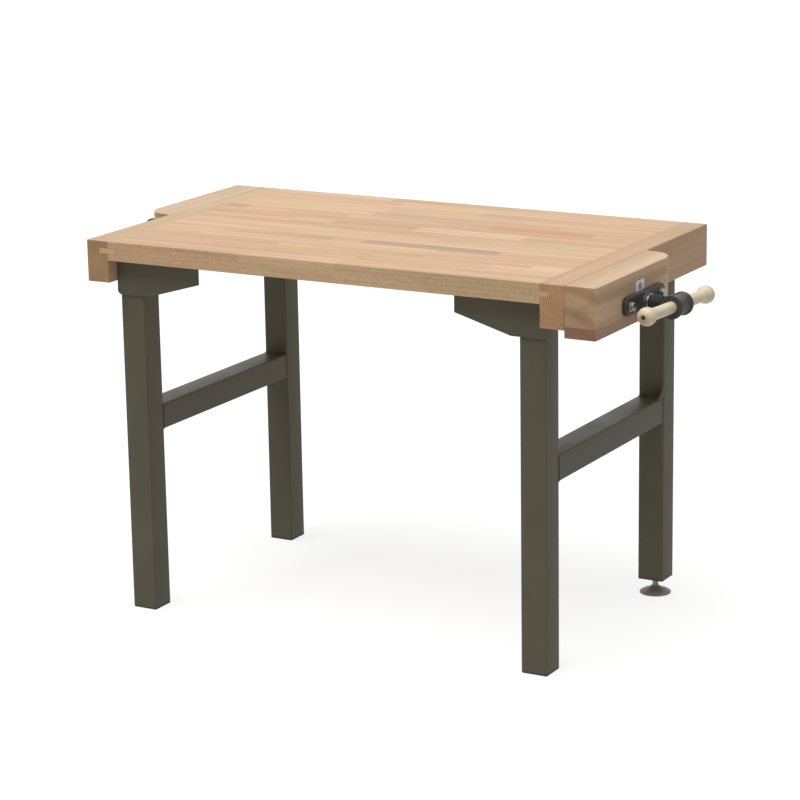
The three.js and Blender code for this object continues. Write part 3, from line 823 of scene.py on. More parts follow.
# Cast in sand and enamelled: near black, with soft uneven glints from the pitted skin.
BLACK_CASTING = Grainy(
    "black enamelled sand casting", "#36332f", "#403d38", 0.45, grain_mm=2.4, depth_mm=0.12, cloud_mm=20,
)
# Plated with zinc: bright silver with grey clouds.
ZINC_PLATE = Grainy("bright zinc plated steel", "#c3c4bf", "#a9aaa4", 0.3, metallic=1, cloud_mm=5)
# Heated and oiled: a dark brown grey metal with small shiny spots.
BLACKED_STEEL = Grainy("oil blacked steel", "#4a4640", "#5c574e", grain_mm=0.8, metallic=1, cloud_mm=3)
# Moulded: rubber is the dullest black on the bench, and its ribs show by soft edges alone.
RUBBER = Grainy("moulded black rubber", "#1d1d1d", "#272625", 0.58, cloud_mm=12)
# Moulded in a smooth tool: an even grey with a broad soft shine.
PAD_PLASTIC = Grainy("moulded grey polyamide", "#7c796b", "#858173", 0.42, grain_mm=1)
# Moulded in a blasted tool: dark and matt, so that it passes for the tube's own end.
PLUG_PLASTIC = Grainy("moulded dark polyethylene", "#403d35", "#48453c", 0.5, grain_mm=1)
# Turned on a lathe: bright, with fine rings of glints round every shaft.
RING_STEEL = TurnedSteel("bright turned steel")


# ------------------------------------------------------------------------ the bench's top


class Shade(Enum):
    """The colours that beech staves come in."""

    CREAM = "#d1b08a"
    PALE = "#d0ac87"
    TAN = "#cba782"
    PINK = "#d0a988"
    HONEY = "#cda47c"
    ORANGE = "#c6956e"
    SMOKED = "#b6977b"


@dataclass(frozen=True)
class NamedStave:
    """A stave that stands out, and so has its place chosen.

    Attributes:
        row: the row that it lies in, counted from the front edge.
        start: where it starts, in millimetres along X.
        end: where it ends.
        shade: its colour.
    """

    row: int
    start: float
    end: float
    shade: Shade


Stave = tuple[float, float, float, float, Shade]


@dataclass(frozen=True)
class GluedTop:
    """The glued top between its end rails, with the loose tongues in the joints.

    Attributes:
        row_widths_mm: the staves' widths from the front edge. The last row takes what is left.
        stave_mm: the shortest and longest stave.
        offcut_mm: no stave is cut shorter than this beside a named one or a rail.
        usual: how often each of the usual colours comes.
        named: the staves that stand out.
        tint: how far a stave's lightness strays from its colour's.
        tree_mm: how far from the tree's heart a stave may lie, in x, y and z.
        heart_mm: how far from it a stave lies at least, in y and z.
        tongue_slot_mm: the slot's depth into the panel, and its height.
        ease_mm: how far the long edges are eased.
        plug_mm: the rail plug's radius, how deep it goes and how far it stands proud.
        plug_at_mm: its middle, from the rail's back end and below its top.
        seed: what the other staves' lengths, shades and places in the tree are drawn from.
    """

    row_widths_mm: tuple[float, ...] = (35, 32, 34, 34, 42, 33, 32, 36, 36, 42, 34, 34, 34, 36, 36, 36)
    stave_mm: tuple[float, float] = (190, 420)
    offcut_mm: float = 60
    usual: tuple[tuple[Shade, float], ...] = (
        (Shade.CREAM, 0.26), (Shade.PALE, 0.3), (Shade.TAN, 0.22), (Shade.PINK, 0.14), (Shade.HONEY, 0.08),
    )
    named: tuple[NamedStave, ...] = (
        NamedStave(5, -11, 261, Shade.SMOKED),
        NamedStave(11, 137, 344, Shade.ORANGE),
        NamedStave(10, 99, 401, Shade.HONEY),
        NamedStave(10, -436, -120, Shade.HONEY),
        NamedStave(3, -361, -141, Shade.HONEY),
        NamedStave(1, 49, 260, Shade.HONEY),
        NamedStave(9, 240, 400, Shade.PINK),
        NamedStave(9, -161, 19, Shade.HONEY),
    )
    tint: float = 0.016
    tree_mm: tuple[float, float, float] = (900, 45, 45)
    heart_mm: tuple[float, float] = (25, 20)
    tongue_slot_mm: tuple[float, float] = (17.8, 10.1)
    ease_mm: float = 1.4
    plug_mm: tuple[float, float, float] = (2.6, 0.5, 0.1)
    plug_at_mm: tuple[float, float] = (65.5, 15.5)
    seed: int = 11

    def lay_out(self) -> list[Stave]:
        """Cuts each row into staves: named ones where they belong, and others between them.

        Returns:
            For each stave, its start, end, front, back and colour.
        """
        low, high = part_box("top_panel")
        draw = np.random.default_rng(self.seed)
        edges = np.append(low.y + np.cumsum((0.0, *self.row_widths_mm)) * MM, high.y)
        shades, odds = zip(*self.usual)
        offcut, staves = self.offcut_mm * MM, []
        for row, (front, back) in enumerate(zip(edges[:-1], edges[1:])):
            here = sorted((s for s in self.named if s.row == row), key=lambda s: s.start)
            place = low.x - draw.uniform(0, self.stave_mm[0]) * MM
            while place < high.x - 1 * MM:
                end = place + draw.uniform(*self.stave_mm) * MM
                shade = shades[draw.choice(len(shades), p=odds)]
                if here and here[0].start * MM < end + offcut:
                    if here[0].start * MM > place + offcut:
                        end = here[0].start * MM
                    else:
                        end, shade = here[0].end * MM, here[0].shade
                        here.pop(0)
                end = high.x if end > high.x - offcut else end
                staves.append((max(place, low.x), end, front, back, shade))
                place = end
        return staves

    def stave_shells(self, staves: list[Stave]) -> list[Shell]:
        """Builds every stave as a closed board, with the tongue's slot in the outermost ones.

        A stave is its outline seen from the front, which is a rectangle with a notch where it
        meets a slot, carried from its front face to its back face.

        Args:
            staves: the staves as they are laid out.

        Returns:
            One surface for each stave.
        """
        low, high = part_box("top_panel")
        depth, height = np.array(self.tongue_slot_mm) * MM
        foot, head = ((low.z + high.z) / 2 + half for half in (-height / 2, height / 2))
        shells = []
        for start, end, front, back, _shade in staves:
            outline = [(start, low.z), (end, low.z)]
            if end == high.x:
                outline += [(end, foot), (end - depth, foot), (end - depth, head), (end, head)]
            outline += [(end, high.z), (start, high.z)]
            if start == low.x:
                outline += [(start, head), (start + depth, head), (start + depth, foot), (start, foot)]
            shells.append(skin(np.stack([np.insert(outline, 1, y, axis=1) for y in (front, back)])))
        return shells

    def build_panel(self) -> None:
        """Builds the panel and writes each stave's colour and place in the tree on its mesh."""
        staves = self.lay_out()
        shells = self.stave_shells(staves)
        counts = [len(shell.points) for shell in shells]
        panel = piece_from("top_staves", sum(shells[1:], shells[0]))
        draw = np.random.default_rng(self.seed + 1)
        places = draw.uniform(-1, 1, (len(staves), 3)) * np.array(self.tree_mm) * MM
        places[:, 1:] += np.sign(places[:, 1:]) * np.array(self.heart_mm) * MM
        colours = np.array([linear(stave[-1].value) for stave in staves])
        colours[:, :3] *= draw.normal(1.0, self.tint, (len(staves), 1))
        for name, kind, key, values in (
            (STAVE_PLACE, "FLOAT_VECTOR", "vector", places),
            (STAVE_COLOUR, "FLOAT_COLOR", "color", colours),
        ):
            written = panel.data.attributes.new(name, kind, "POINT").data
            written.foreach_set(key, np.repeat(values, counts, axis=0).astype(np.float32).ravel())
        self.weigh_long_edges(panel.data)
        dress(ease_edges(panel, self.ease_mm * MM), STAVE_BEECH, "top_panel")

    def weigh_long_edges(self, mesh: bpy.types.Mesh) -> None:
        """Gives the panel's front and back edges a bevel weight, and the glued joints none.

        Args:
            mesh: the panel's mesh.
        """
        low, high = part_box("top_panel")
        points = np.empty(len(mesh.vertices) * 3, np.float32)
        mesh.vertices.foreach_get("co", points)
        ends = np.empty(len(mesh.edges) * 2, np.int32)
        mesh.edges.foreach_get("vertices", ends)
        edge = points.reshape(-1, 3)[ends.reshape(-1, 2)]
        on_face = np.abs(np.abs(edge[:, :, 1]) - high.y) < NEAR
        level = np.minimum(np.abs(edge[:, :, 2] - low.z), np.abs(edge[:, :, 2] - high.z)) < NEAR
        flat = np.abs(edge[:, 0, 2] - edge[:, 1, 2]) < NEAR
        outer = on_face.all(axis=1) & level.all(axis=1) & flat
        weight = mesh.attributes.new("bevel_weight_edge", "FLOAT", "EDGE")
        weight.data.foreach_set("value", outer.astype(np.float32))

    def build_rails(self) -> None:
        """Builds the two end rails, and dresses the tongues whose ends show at the corners."""
        for side, inner in (("right", 0), ("left", 1)):
            node = f"{side}_end_rail"
            joint = (0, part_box(node)[inner].x)
            board = eased_copy(f"{side}_rail_board", node, self.ease_mm * MM, (joint,))
            dress(board, RAIL_BEECH[side], node)
            keep(f"{side}_tongue", TONGUE_BEECH)

    def build_rail_plug(self) -> None:
        """Builds the small dark wooden plug in the right rail's outer face."""
        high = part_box("right_end_rail")[1]
        radius, sunk, proud = np.array(self.plug_mm) * MM
        from_end, below_top = np.array(self.plug_at_mm) * MM
        line = Line((high.x, high.y - from_end, high.z - below_top), (1, 0, 0))
        tip = 0.1 * MM
        profile = [(tip, -sunk), (radius, -sunk), (radius, proud), (tip, proud)]
        plug = piece_from("right_rail_plug", turned(profile, line, 28, ease=tip))
        attach(plug, HEART_BEECH, "bench")

    def build(self) -> None:
        """Builds the whole top."""
        self.build_panel()
        self.build_rails()
        self.build_rail_plug()


# ------------------------------------------------------------------------------ the vices


@dataclass
class Vice:
    """One screw vice: its wooden jaw, its irons and its handle.

    Attributes:
        side: "right" or "left", the end of the bench that it is on.
        rows: the rows, front and back, of its first guide rod and its second one.
        ease_mm: how far the edges of the jaw and of the guide block are eased.
        edge_mm: the radius of the castings' edges.
        plate_mm: the plate's thickness, its height, and the radius of its round ends.
        boss_mm: how far the foot of the plate's boss spreads, how deep it is sunk in the
            plate, the height of its rim and the height at which it meets the boss.
        bolt_mm: the height of a bolt's head, its width across flats, the washer's thickness
            and the shank's radius.
        chamfer: how the cone on a bolt's head goes: pairs of millimetres below its top, and
            of radius as a share of the radius to a flat.
        socket_mm: the radius and depth of the bore in a guide rod's end.
        thread_mm: the pitch and depth of the screw's thread.
        step_mm: how much thinner the screw is past its thread.
        ribs: how many ribs the sleeve has.
        rib_depth_mm: how deep they are.
        barrel_mm: half the length of the head's barrel, its wall, and the height and width
            of its rims.
        neck_mm: the neck's furthest reach from the barrel's middle, how much wider than the
            screw it is, and how much it widens again at the barrel.
        bar_mm: the radius of the handle's plain bar.
        flare_mm: how long the curve from the bar to a knob is.
        tip_mm: the radius of the flat on the fixed knob's tip.
        play_mm: the gap between the bar and the loose knob's foot.
        recess_mm: the radius and depth of the hole in the loose knob's tip, and the width and
            height of the lip round it.
        knob_screw_mm: how far the screw in that hole stays clear of its wall and its mouth,
            and the thickness left under the screw's own socket.
    """

    side: str
    rows: tuple[str, str]
    ease_mm: tuple[float, float] = (1.4, 1.5)
    edge_mm: float = 1.1
    plate_mm: tuple[float, float, float] = (8, 32, 13)
    boss_mm: tuple[float, float, float, float] = (4, 1, 0.2, 1.6)
    bolt_mm: tuple[float, float, float, float] = (5.5, 13, 1.6, 4)
    chamfer: tuple[tuple[float, float], ...] = (
        (5.4, 1.2), (1.1, 1.2), (0.7, 1.12), (0.25, 1.02), (0, 0.93), (0, 0.4),
    )
    socket_mm: tuple[float, float] = (4.3, 20.3)
    thread_mm: tuple[float, float] = (5, 2.2)
    step_mm: float = 1
    ribs: int = 4
    rib_depth_mm: float = 2
    barrel_mm: tuple[float, float, float, float] = (25, 7, 3.2, 8)
    neck_mm: tuple[float, float, float] = (24, 2, 3)
    bar_mm: float = 10.5
    flare_mm: float = 26
    tip_mm: float = 3
    play_mm: float = 0.3
    recess_mm: tuple[float, float, float, float] = (4.5, 2.5, 1, 0.2)
    knob_screw_mm: tuple[float, float] = (0.9, 0.6)

    def __post_init__(self) -> None:
        """Reads the screw's line and the handle's line from the frame's joints."""
        turn, slide = (joint_named(f"{self.side}_{name}") for name in ("screw_turn", "handle_slide"))
        self.centre = tuple(turn["pos_m"])
        self.line = Line(self.centre, tuple(turn["axis"]))
        self.handle_line = Line(self.centre, tuple(slide["axis"]))

    def box(self, node: str) -> tuple[Vector, Vector]:
        """Gives the lowest and highest corners of one of the vice's nodes."""
        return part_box(f"{self.side}_{node}")

    def reach(self, node: str) -> tuple[float, float]:
        """Gives where a node starts and ends along the screw's line, from the head's middle."""
        start, end = sorted((c.x - self.centre[0]) * self.line.along[0] for c in self.box(node))
        return start, end

    def radius(self, node: str) -> float:
        """Gives the outer radius of a node that is turned about a line along X."""
        return size_of(f"{self.side}_{node}").z / 2

    def line_of(self, node: str) -> Line:
        """Gives the line through a node's middle that runs beside the screw's."""
        low, high = self.box(node)
        return Line((self.centre[0], (low.y + high.y) / 2, (low.z + high.z) / 2), self.line.along)

    def fit(self, name: str, shell: Shell, finish: Finish, node: str) -> None:
        """Makes a piece and puts it in the place of one of the vice's nodes.

        Args:
            name: the piece's name without its side.
            shell: its surface.
            finish: its finish.
            node: the node's name without its side.
        """
        dress(piece_from(f"{self.side}_{name}", shell), finish, f"{self.side}_{node}")

    def build_jaw(self) -> None:
        """Builds the jaw's board and the strip that is glued under it."""
        joints = ((2, self.box("jaw_strip")[1].z), (2, self.box("jaw_board")[0].z))
        for name, node, finish in (
            ("jaw_block", "jaw_board", JAW_BEECH[self.side]),
            ("jaw_foot_strip", "jaw_strip", HEART_BEECH),
        ):
            node = f"{self.side}_{node}"
            dress(eased_copy(f"{self.side}_{name}", node, self.ease_mm[0] * MM, joints), finish, node)

    def build_plate(self) -> None:
        """Builds the iron plate with round ends and the boss that the screw runs in."""
        start, boss_end = self.reach("vice_plate")
        thickness, height, corner = np.array(self.plate_mm) * MM
        edge, face = self.edge_mm * MM, start + thickness
        middle = self.line_of("vice_plate").start[1]
        rod = self.line_of(f"{self.rows[0]}_guide_rod")
        line = Line((self.centre[0], middle, rod.start[2]), rod.along)
        outline = rounded([(edge * 4, start), (0, start), (0, face), (edge * 4, face)], edge)
        length = size_of(f"{self.side}_vice_plate").y
        rings = [
            (rectangle(length - 2 * inset, height - 2 * inset, corner - inset, 8), out)
            for inset, out in outline
        ]
        journal = self.radius("thrust_ring")
        bore = self.radius("vice_screw") - self.step_mm * MM + CLEARANCE
        spread, sunk, rim, foot = np.array(self.boss_mm) * MM
        profile = [
            (bore, face - sunk), (journal + spread, face - sunk), (journal + spread, face + rim),
            (journal, face + foot), (journal, boss_end), (bore, boss_end),
        ]
        boss = turned(profile, self.line, ease=edge, bored=True)
        self.fit("plate_casting", stacked(rings, line) + boss, BLACK_CASTING, "vice_plate")

    def build_bolts(self) -> None:
        """Builds the two hexagon bolts, each with its washer and shank.

        A hexagon's radius at an angle is its inner radius over the cosine of the angle from
        the nearest flat's middle. The chamfer is a cone that cuts the corners off.
        """
        head, across, washer, shank = np.array(self.bolt_mm) * MM
        angle = around(72)
        hexagon = across / 2 / np.cos((angle + math.pi / 6) % (math.pi / 3) - math.pi / 6)
        for row in self.rows:
            node = f"{row}_plate_bolt"
            line, wide = self.line_of(node), self.radius(node)
            start, end = self.reach(node)
            under = end - head
            rings = [
                (polar(np.minimum(hexagon, across / 2 * cone), angle), end - below * MM)
                for below, cone in self.chamfer
            ]
            flat = [(shank, under - washer), (wide, under - washer), (wide, under), (shank, under)]
            bolt = stacked(rings, line) + turned(flat, line, 48, ease=0.4 * MM, bored=True)
            bolt += turned([(shank, start), (shank, under + 0.2 * MM)], line, 32)
            self.fit(f"{row}_hex_bolt", bolt, ZINC_PLATE, node)

    def build_shafts(self) -> None:
        """Builds the guide rods and the vice's screw."""
        bore, depth = np.array(self.socket_mm) * MM
        for row in self.rows:
            node = f"{row}_guide_rod"
            start, end = self.reach(node)
            wide, floor = self.radius(node), end - depth
            profile = [(CORE, start), (wide, start), (wide, end), (bore, end), (bore, floor), (CORE, floor)]
            rod = turned(profile, self.line_of(node), 56, ease=1.2 * MM)
            self.fit(f"{row}_slide_bar", rod, RING_STEEL, node)
        start, end = self.reach("vice_screw")
        wide = self.radius("vice_screw")
        step = min(abs(corner.x) for corner in self.box("end_rail")) - abs(self.centre[0])
        first = tuple(np.array(self.centre) + np.array(self.line.along) * start)
        screw = threaded(wide, self.thread_mm, step - start, Line(first, self.line.along))
        thin, inside = wide - self.step_mm * MM, step - 2 * MM
        plain = [(CORE, inside), (thin, inside), (thin, end), (CORE, end)]
        screw += turned(plain, self.line, 48, ease=0.8 * MM)
        self.fit("lead_screw", screw, RING_STEEL, "vice_screw")

    def build_neck(self) -> None:
        """Builds the bright thrust ring and the ribbed rubber sleeve behind the head.

        Along the sleeve the radius is its outer one less the ribs' depth times a wave that
        comes round once a rib, raised so that the ribs are broad and the grooves narrow.
        """
        bore = self.radius("vice_screw") - self.step_mm * MM + CLEARANCE
        start, end = self.reach("thrust_ring")
        wide = self.radius("thrust_ring")
        profile = [(bore, start), (wide, start), (wide, end), (bore, end)]
        ring = turned(profile, self.line, ease=0.7 * MM, bored=True)
        self.fit("bright_ring", ring, RING_STEEL, "thrust_ring")
        start, end = self.reach("ribbed_sleeve")
        steps_in_rib, sharpness = 12, 2.5
        out = np.linspace(start, end, self.ribs * steps_in_rib + 1)
        wave = np.abs(np.cos(math.pi * self.ribs * (out - start) / (end - start))) ** sharpness
        wide = self.radius("ribbed_sleeve") - self.rib_depth_mm * MM * wave
        profile = np.vstack(((bore, start), np.stack((wide, out), axis=-1), (bore, end)))
        self.fit("bellows_sleeve", turned(profile, self.line, bored=True), RUBBER, "ribbed_sleeve")

    def build_head(self) -> None:
        """Builds the cross barrel with its raised rims, and its neck."""
        half, wall, rim, rim_width = np.array(self.barrel_mm) * MM
        bar = self.bar_mm * MM
        bore, waist, crest = bar + CLEARANCE, bar + wall, bar + wall + rim
        profile = [
            (bore, -half), (crest, -half), (crest, -half + rim_width - rim), (waist, -half + rim_width),
            (waist, half - rim_width), (crest, half - rim_width + rim), (crest, half), (bore, half),
        ]
        barrel = turned(rounded(profile, 1.6 * MM, 6), self.handle_line, 80, bored=True)
        furthest, wider, flare = np.array(self.neck_mm) * MM
        start = max(self.reach("vice_head")[0], -furthest)
        neck = self.radius("vice_screw") + wider
        inside, core = -bore - flare, 2 * CORE
        profile = [
            (core, start), (neck, start), (neck, -waist - 1 * MM), (neck + flare, inside), (core, inside),
        ]
        head = barrel + turned(profile, self.line, ease=1.2 * MM)
        self.fit("head_casting", head, BLACK_CASTING, "vice_head")

    def knob_profile(self, radius: float, tip: float) -> list[tuple[float, float]]:
        """Gives half a knob's outline, from the plain bar to the knob's tip.

        The flare rises from the bar to the knob as half a cosine wave. The end is a quarter
        of a circle that stops at the tip's flat.

        Args:
            radius: the knob's radius.
            tip: the flat's radius.

        Returns:
            Pairs of radius and distance from the knob's middle.
        """
        bar = self.bar_mm * MM
        t = np.linspace(0, 1, 12)
        flare = bar + (radius - bar) * (0.5 - 0.5 * np.cos(math.pi * t))
        rising = np.stack((flare, -self.flare_mm * MM * (1 - t)), axis=-1)
        ball = polar(radius, np.linspace(0, math.acos(tip / radius), 12)[1:])
        return [tuple(point) for point in np.vstack((rising, ball))]

    def build_handle(self) -> None:
        """Builds the turned handle: its bar with one fixed knob, and its loose knob and screw."""
        low, high = self.box("handle_knob")
        knob = (high.x - low.x) / 2
        way = np.array(self.handle_line.along)
        flat, bar = self.tip_mm * MM, self.bar_mm * MM
        furthest = max(abs(corner.y - self.centre[1]) for corner in self.box("handle_bar"))
        middle = furthest / abs(way[1]) - math.sqrt(knob**2 - flat**2) - abs(way[2]) * flat
        start = -middle + (self.flare_mm + self.play_mm) * MM
        outline = [(r, middle + out) for r, out in self.knob_profile(knob, flat)]
        rod = turned([(CORE, start), (bar, start), *outline], self.handle_line, 72)
        self.fit("handle_rod", rod, HANDLE_WOOD, "handle_bar")
        recess, depth, lip, lip_height = np.array(self.recess_mm) * MM
        outline = self.knob_profile(knob, recess + lip)
        start, tip = outline[0][1], outline[-1][1]
        floor = tip - depth
        outline += [(recess, tip + lip_height), (recess, floor), (CORE, floor)]
        back = Line(tuple(np.array(self.centre) - way * middle), tuple(-way))
        self.fit("end_knob", turned([(CORE, start), *outline], back, 72), HANDLE_WOOD, "handle_knob")
        gap, web = np.array(self.knob_screw_mm) * MM
        head, crown = recess - gap, tip - gap
        core, socket, sunk = 0.1 * CORE, head * 0.4, floor + web
        outline = [(core, floor), (head, floor), (head, crown), (socket, crown), (socket, sunk), (core, sunk)]
        screw = piece_from(f"{self.side}_knob_screw", turned(outline, back, 32, ease=0.4 * MM))
        attach(screw, BLACKED_STEEL, f"{self.side}_handle")

    def build(self) -> None:
        """Builds the whole vice."""
        self.build_jaw()
        self.build_plate()
        self.build_bolts()
        self.build_shafts()
        self.build_neck()
        self.build_head()
        self.build_handle()
        node = f"{self.side}_guide_block"
        block = eased_copy(f"{self.side}_guide_casting", node, self.ease_mm[1] * MM)
        dress(block, BLACK_CASTING, node)


@dataclass(frozen=True)
class Label:
    """A small plain paper label on the right jaw's outer face, above the plate.

    Attributes:
        size_mm: its length and height.
        thickness_mm: its thickness.
        from_screw_mm: its middle, from the screw's line along Y.
        below_top_mm: its middle, below the jaw's top.
    """

    size_mm: tuple[float, float] = (34, 21)
    thickness_mm: float = 0.15
    from_screw_mm: float = -6
    below_top_mm: float = 29

    def build(self) -> None:
        """Builds the label."""
        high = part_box("right_jaw_board")[1]
        screw_y = joint_named("right_screw_turn")["pos_m"][1]
        middle = (high.x, screw_y + self.from_screw_mm * MM, high.z - self.below_top_mm * MM)
        ring = rectangle(*np.array(self.size_mm) * MM, 1.5 * MM, 5)
        sheet = stacked([(ring, 0.02 * MM), (ring, self.thickness_mm * MM)], Line(middle, (1, 0, 0)))
        # Printed paper: a small pale patch with a crisp blue spot.
        attach(piece_from("jaw_label", sheet), PrintedFilm("plain printed paper", middle), "right_jaw")


# ----------------------------------------------------------------------------- the frames


@dataclass(frozen=True)
class EndFrame:
    """One end's welded steel frame, with its feet.

    Attributes:
        side: "right" or "left".
        rows: the row of the leg on the vice's side, and that of the other leg, which has the
            corner gusset.
        wall_mm: the tube's wall.
        corner_mm: the tube's outer corner.
        fold_mm: how far the brackets' edges are eased.
        weld_mm: the radius of the weld beads' section, and from one ripple to the next.
        plug_mm: the height of an end plug's foot, how far its lower edge is rounded, and the
            gap round its body.
        screw_mm: a wood screw's head height, its shank's radius, its point's length, its
            recess's radius and depth.
        nib_mm: the gusset's width where it runs out.
    """

    side: str
    rows: tuple[str, str]
    wall_mm: float = 2.5
    corner_mm: float = 3
    fold_mm: float = 0.8
    weld_mm: tuple[float, float] = (1.3, 3.2)
    plug_mm: tuple[float, float, float] = (4, 2.5, 0.3)
    screw_mm: tuple[float, float, float, float, float] = (3.5, 2.5, 5, 2.3, 1.8)
    nib_mm: float = 0.6

    def tube(self, name: str, node: str, line: Line, size: Sequence[float], length: float) -> None:
        """Builds one piece of square tube.

        Its rings go up the outside and down the inside, so it is a pipe with open ends.

        Args:
            name: the piece's name.
            node: the node that it stands for.
            line: its centre line, from one end.
            size: its two outer sides.
            length: its length.
        """
        wall, corner = self.wall_mm * MM, self.corner_mm * MM
        outer = rectangle(*size, corner)
        inner = rectangle(size[0] - 2 * wall, size[1] - 2 * wall, corner / 2)
        rings = [(outer, 0), (outer, length), (inner, length), (inner, 0)]
        dress(piece_from(name, stacked(rings, line, closed=True)), POWDER_COAT, node)

    def build_leg(self, row: str) -> None:
        """Builds one leg with its bracket, the bracket's screws and its foot.

        Args:
            row: "front" or "back".
        """
        name = f"{self.side}_{row}"
        leg, bracket = f"{name}_leg", f"{name}_bracket"
        *section, height = size_of(leg)
        self.tube(f"{leg}_tube", leg, upright(leg), section, height)
        dress(eased_copy(f"{bracket}_sheet", bracket, self.fold_mm * MM), POWDER_COAT, bracket)
        for number in (1, 2):
            self.build_wood_screw(f"{bracket}_screw_{number}")
        if f"{name}_end_plug" in frame["nodes"]:
            self.build_plug(name)

    def build_plug(self, name: str) -> None:
        """Builds an end plug: a foot as wide as the tube with a rounded sole, and its body.

        Args:
            name: the leg's name.
        """
        node = f"{name}_end_plug"
        width, _depth, height = size_of(node)
        corner = self.corner_mm * MM
        flange, edge, gap = np.array(self.plug_mm) * MM
        body = width - 2 * (self.wall_mm * MM + gap)
        sole = rounded([(edge * 3, 0), (0, 0), (0, flange), (edge, flange)], edge, 5)[:-1]
        rings = [(rectangle(width - 2 * i, width - 2 * i, corner), out) for i, out in sole]
        inner = rectangle(body, body, corner / 2)
        plug = stacked([*rings, (inner, flange), (inner, height)], upright(node))
        dress(piece_from(f"{name}_foot_plug", plug), PLUG_PLASTIC, node)

    def build_wood_screw(self, node: str) -> None:
        """Builds a round-headed wood screw with a lobed recess.

        The recess has six lobes: its radius swells and shrinks six times round.

        Args:
            node: the node that it stands for.
        """
        width, _depth, length = size_of(node)
        wide = width / 2
        head, shank, point, recess, depth = np.array(self.screw_mm) * MM
        angle = around(48)
        swell, taper, mouth, tip = 0.13, 0.9, 0.25 * MM, 0.4 * MM
        lobed, dome = recess * (1 + swell * np.cos(6 * angle)), head * 0.7
        rings = [(polar(lobed * taper, angle), depth), (polar(lobed, angle), mouth)]
        rings += [
            (polar(wide * math.sin(tilt), angle), dome * (1 - math.cos(tilt)))
            for tilt in np.linspace(0.35, 1, 6) * math.pi / 2
        ]
        for radius, out in ((wide, head), (shank, head), (shank, length - point), (tip, length)):
            rings.append((polar(radius, angle), out))
        dress(piece_from(f"{node}_fine", stacked(rings, upright(node))), ZINC_PLATE, node)

    def bead(self, size: Sequence[float], place: float, line: Line) -> Shell:
        """Builds a weld bead round a tube.

        A bead is a ring of short round ripples: its section's radius swells a little once
        every few millimetres on its way round the tube.

        Args:
            size: the tube's two outer sides.
            place: where the bead lies along the tube.
            line: the tube's centre line.

        Returns:
            The bead's surface.
        """
        corners = rectangle(*size, self.corner_mm * MM)
        steps, share, sides = 12, 0.1, 10
        t = np.linspace(0, 1, steps, endpoint=False)[None, :, None]
        path = (corners[:, None] * (1 - t) + np.roll(corners, -1, axis=0)[:, None] * t).reshape(-1, 2)
        way = np.roll(path, -1, axis=0) - np.roll(path, 1, axis=0)
        outward = np.stack((way[:, 1], -way[:, 0]), axis=-1)
        outward /= np.linalg.norm(outward, axis=1, keepdims=True)
        run = np.cumsum(np.linalg.norm(np.diff(path, axis=0, prepend=path[:1]), axis=1))
        radius, ripple = np.array(self.weld_mm) * MM
        swell = radius * (1 - share + share * np.cos(2 * math.pi * run / ripple))
        section = polar(swell[:, None], around(sides))
        side, up = (path[:, i : i + 1] + outward[:, i : i + 1] * section[..., 0] for i in (0, 1))
        return skin(line.at(side, up, place + section[..., 1]), closed=True)

    def build_stretcher(self) -> None:
        """Builds the stretcher, and the weld bead round each of its ends."""
        node = f"{self.side}_stretcher"
        low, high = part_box(node)
        line = Line(((low.x + high.x) / 2, low.y, (low.z + high.z) / 2), (0, 1, 0))
        size, length = (high.x - low.x, high.z - low.z), high.y - low.y
        self.tube(f"{node}_tube", node, line, size, length)
        inset = 0.4 * MM
        welds = self.bead(size, inset, line) + self.bead(size, length - inset, line)
        attach(piece_from(f"{node}_welds", welds), POWDER_COAT, "bench")

    def build_gusset(self) -> None:
        """Builds the corner gusset: a web whose free edge is a quarter of a circle."""
        node = f"{self.side}_corner_gusset"
        low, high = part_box(node)
        leg_low, leg_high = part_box(f"{self.side}_{self.rows[1]}_leg")
        toward, corner_y = (1, high.y) if leg_low.y + leg_high.y > 0 else (-1, low.y)
        size = high.z - low.z
        curve = size - polar(size - self.nib_mm * MM, np.linspace(0, math.pi / 2, 25))
        outline = np.vstack(((0, 0), (0, size), curve, (size, 0)))
        y, z = corner_y - toward * outline[:, 0], low.z + outline[:, 1]
        rings = [np.stack((np.full_like(y, x), y, z), axis=-1) for x in (low.x, high.x)]
        dress(piece_from(f"{self.side}_gusset_web", skin(np.array(rings))), POWDER_COAT, node)

    def build(self) -> None:
        """Builds the whole frame."""
        for row in self.rows:
            self.build_leg(row)
        self.build_stretcher()
        self.build_gusset()


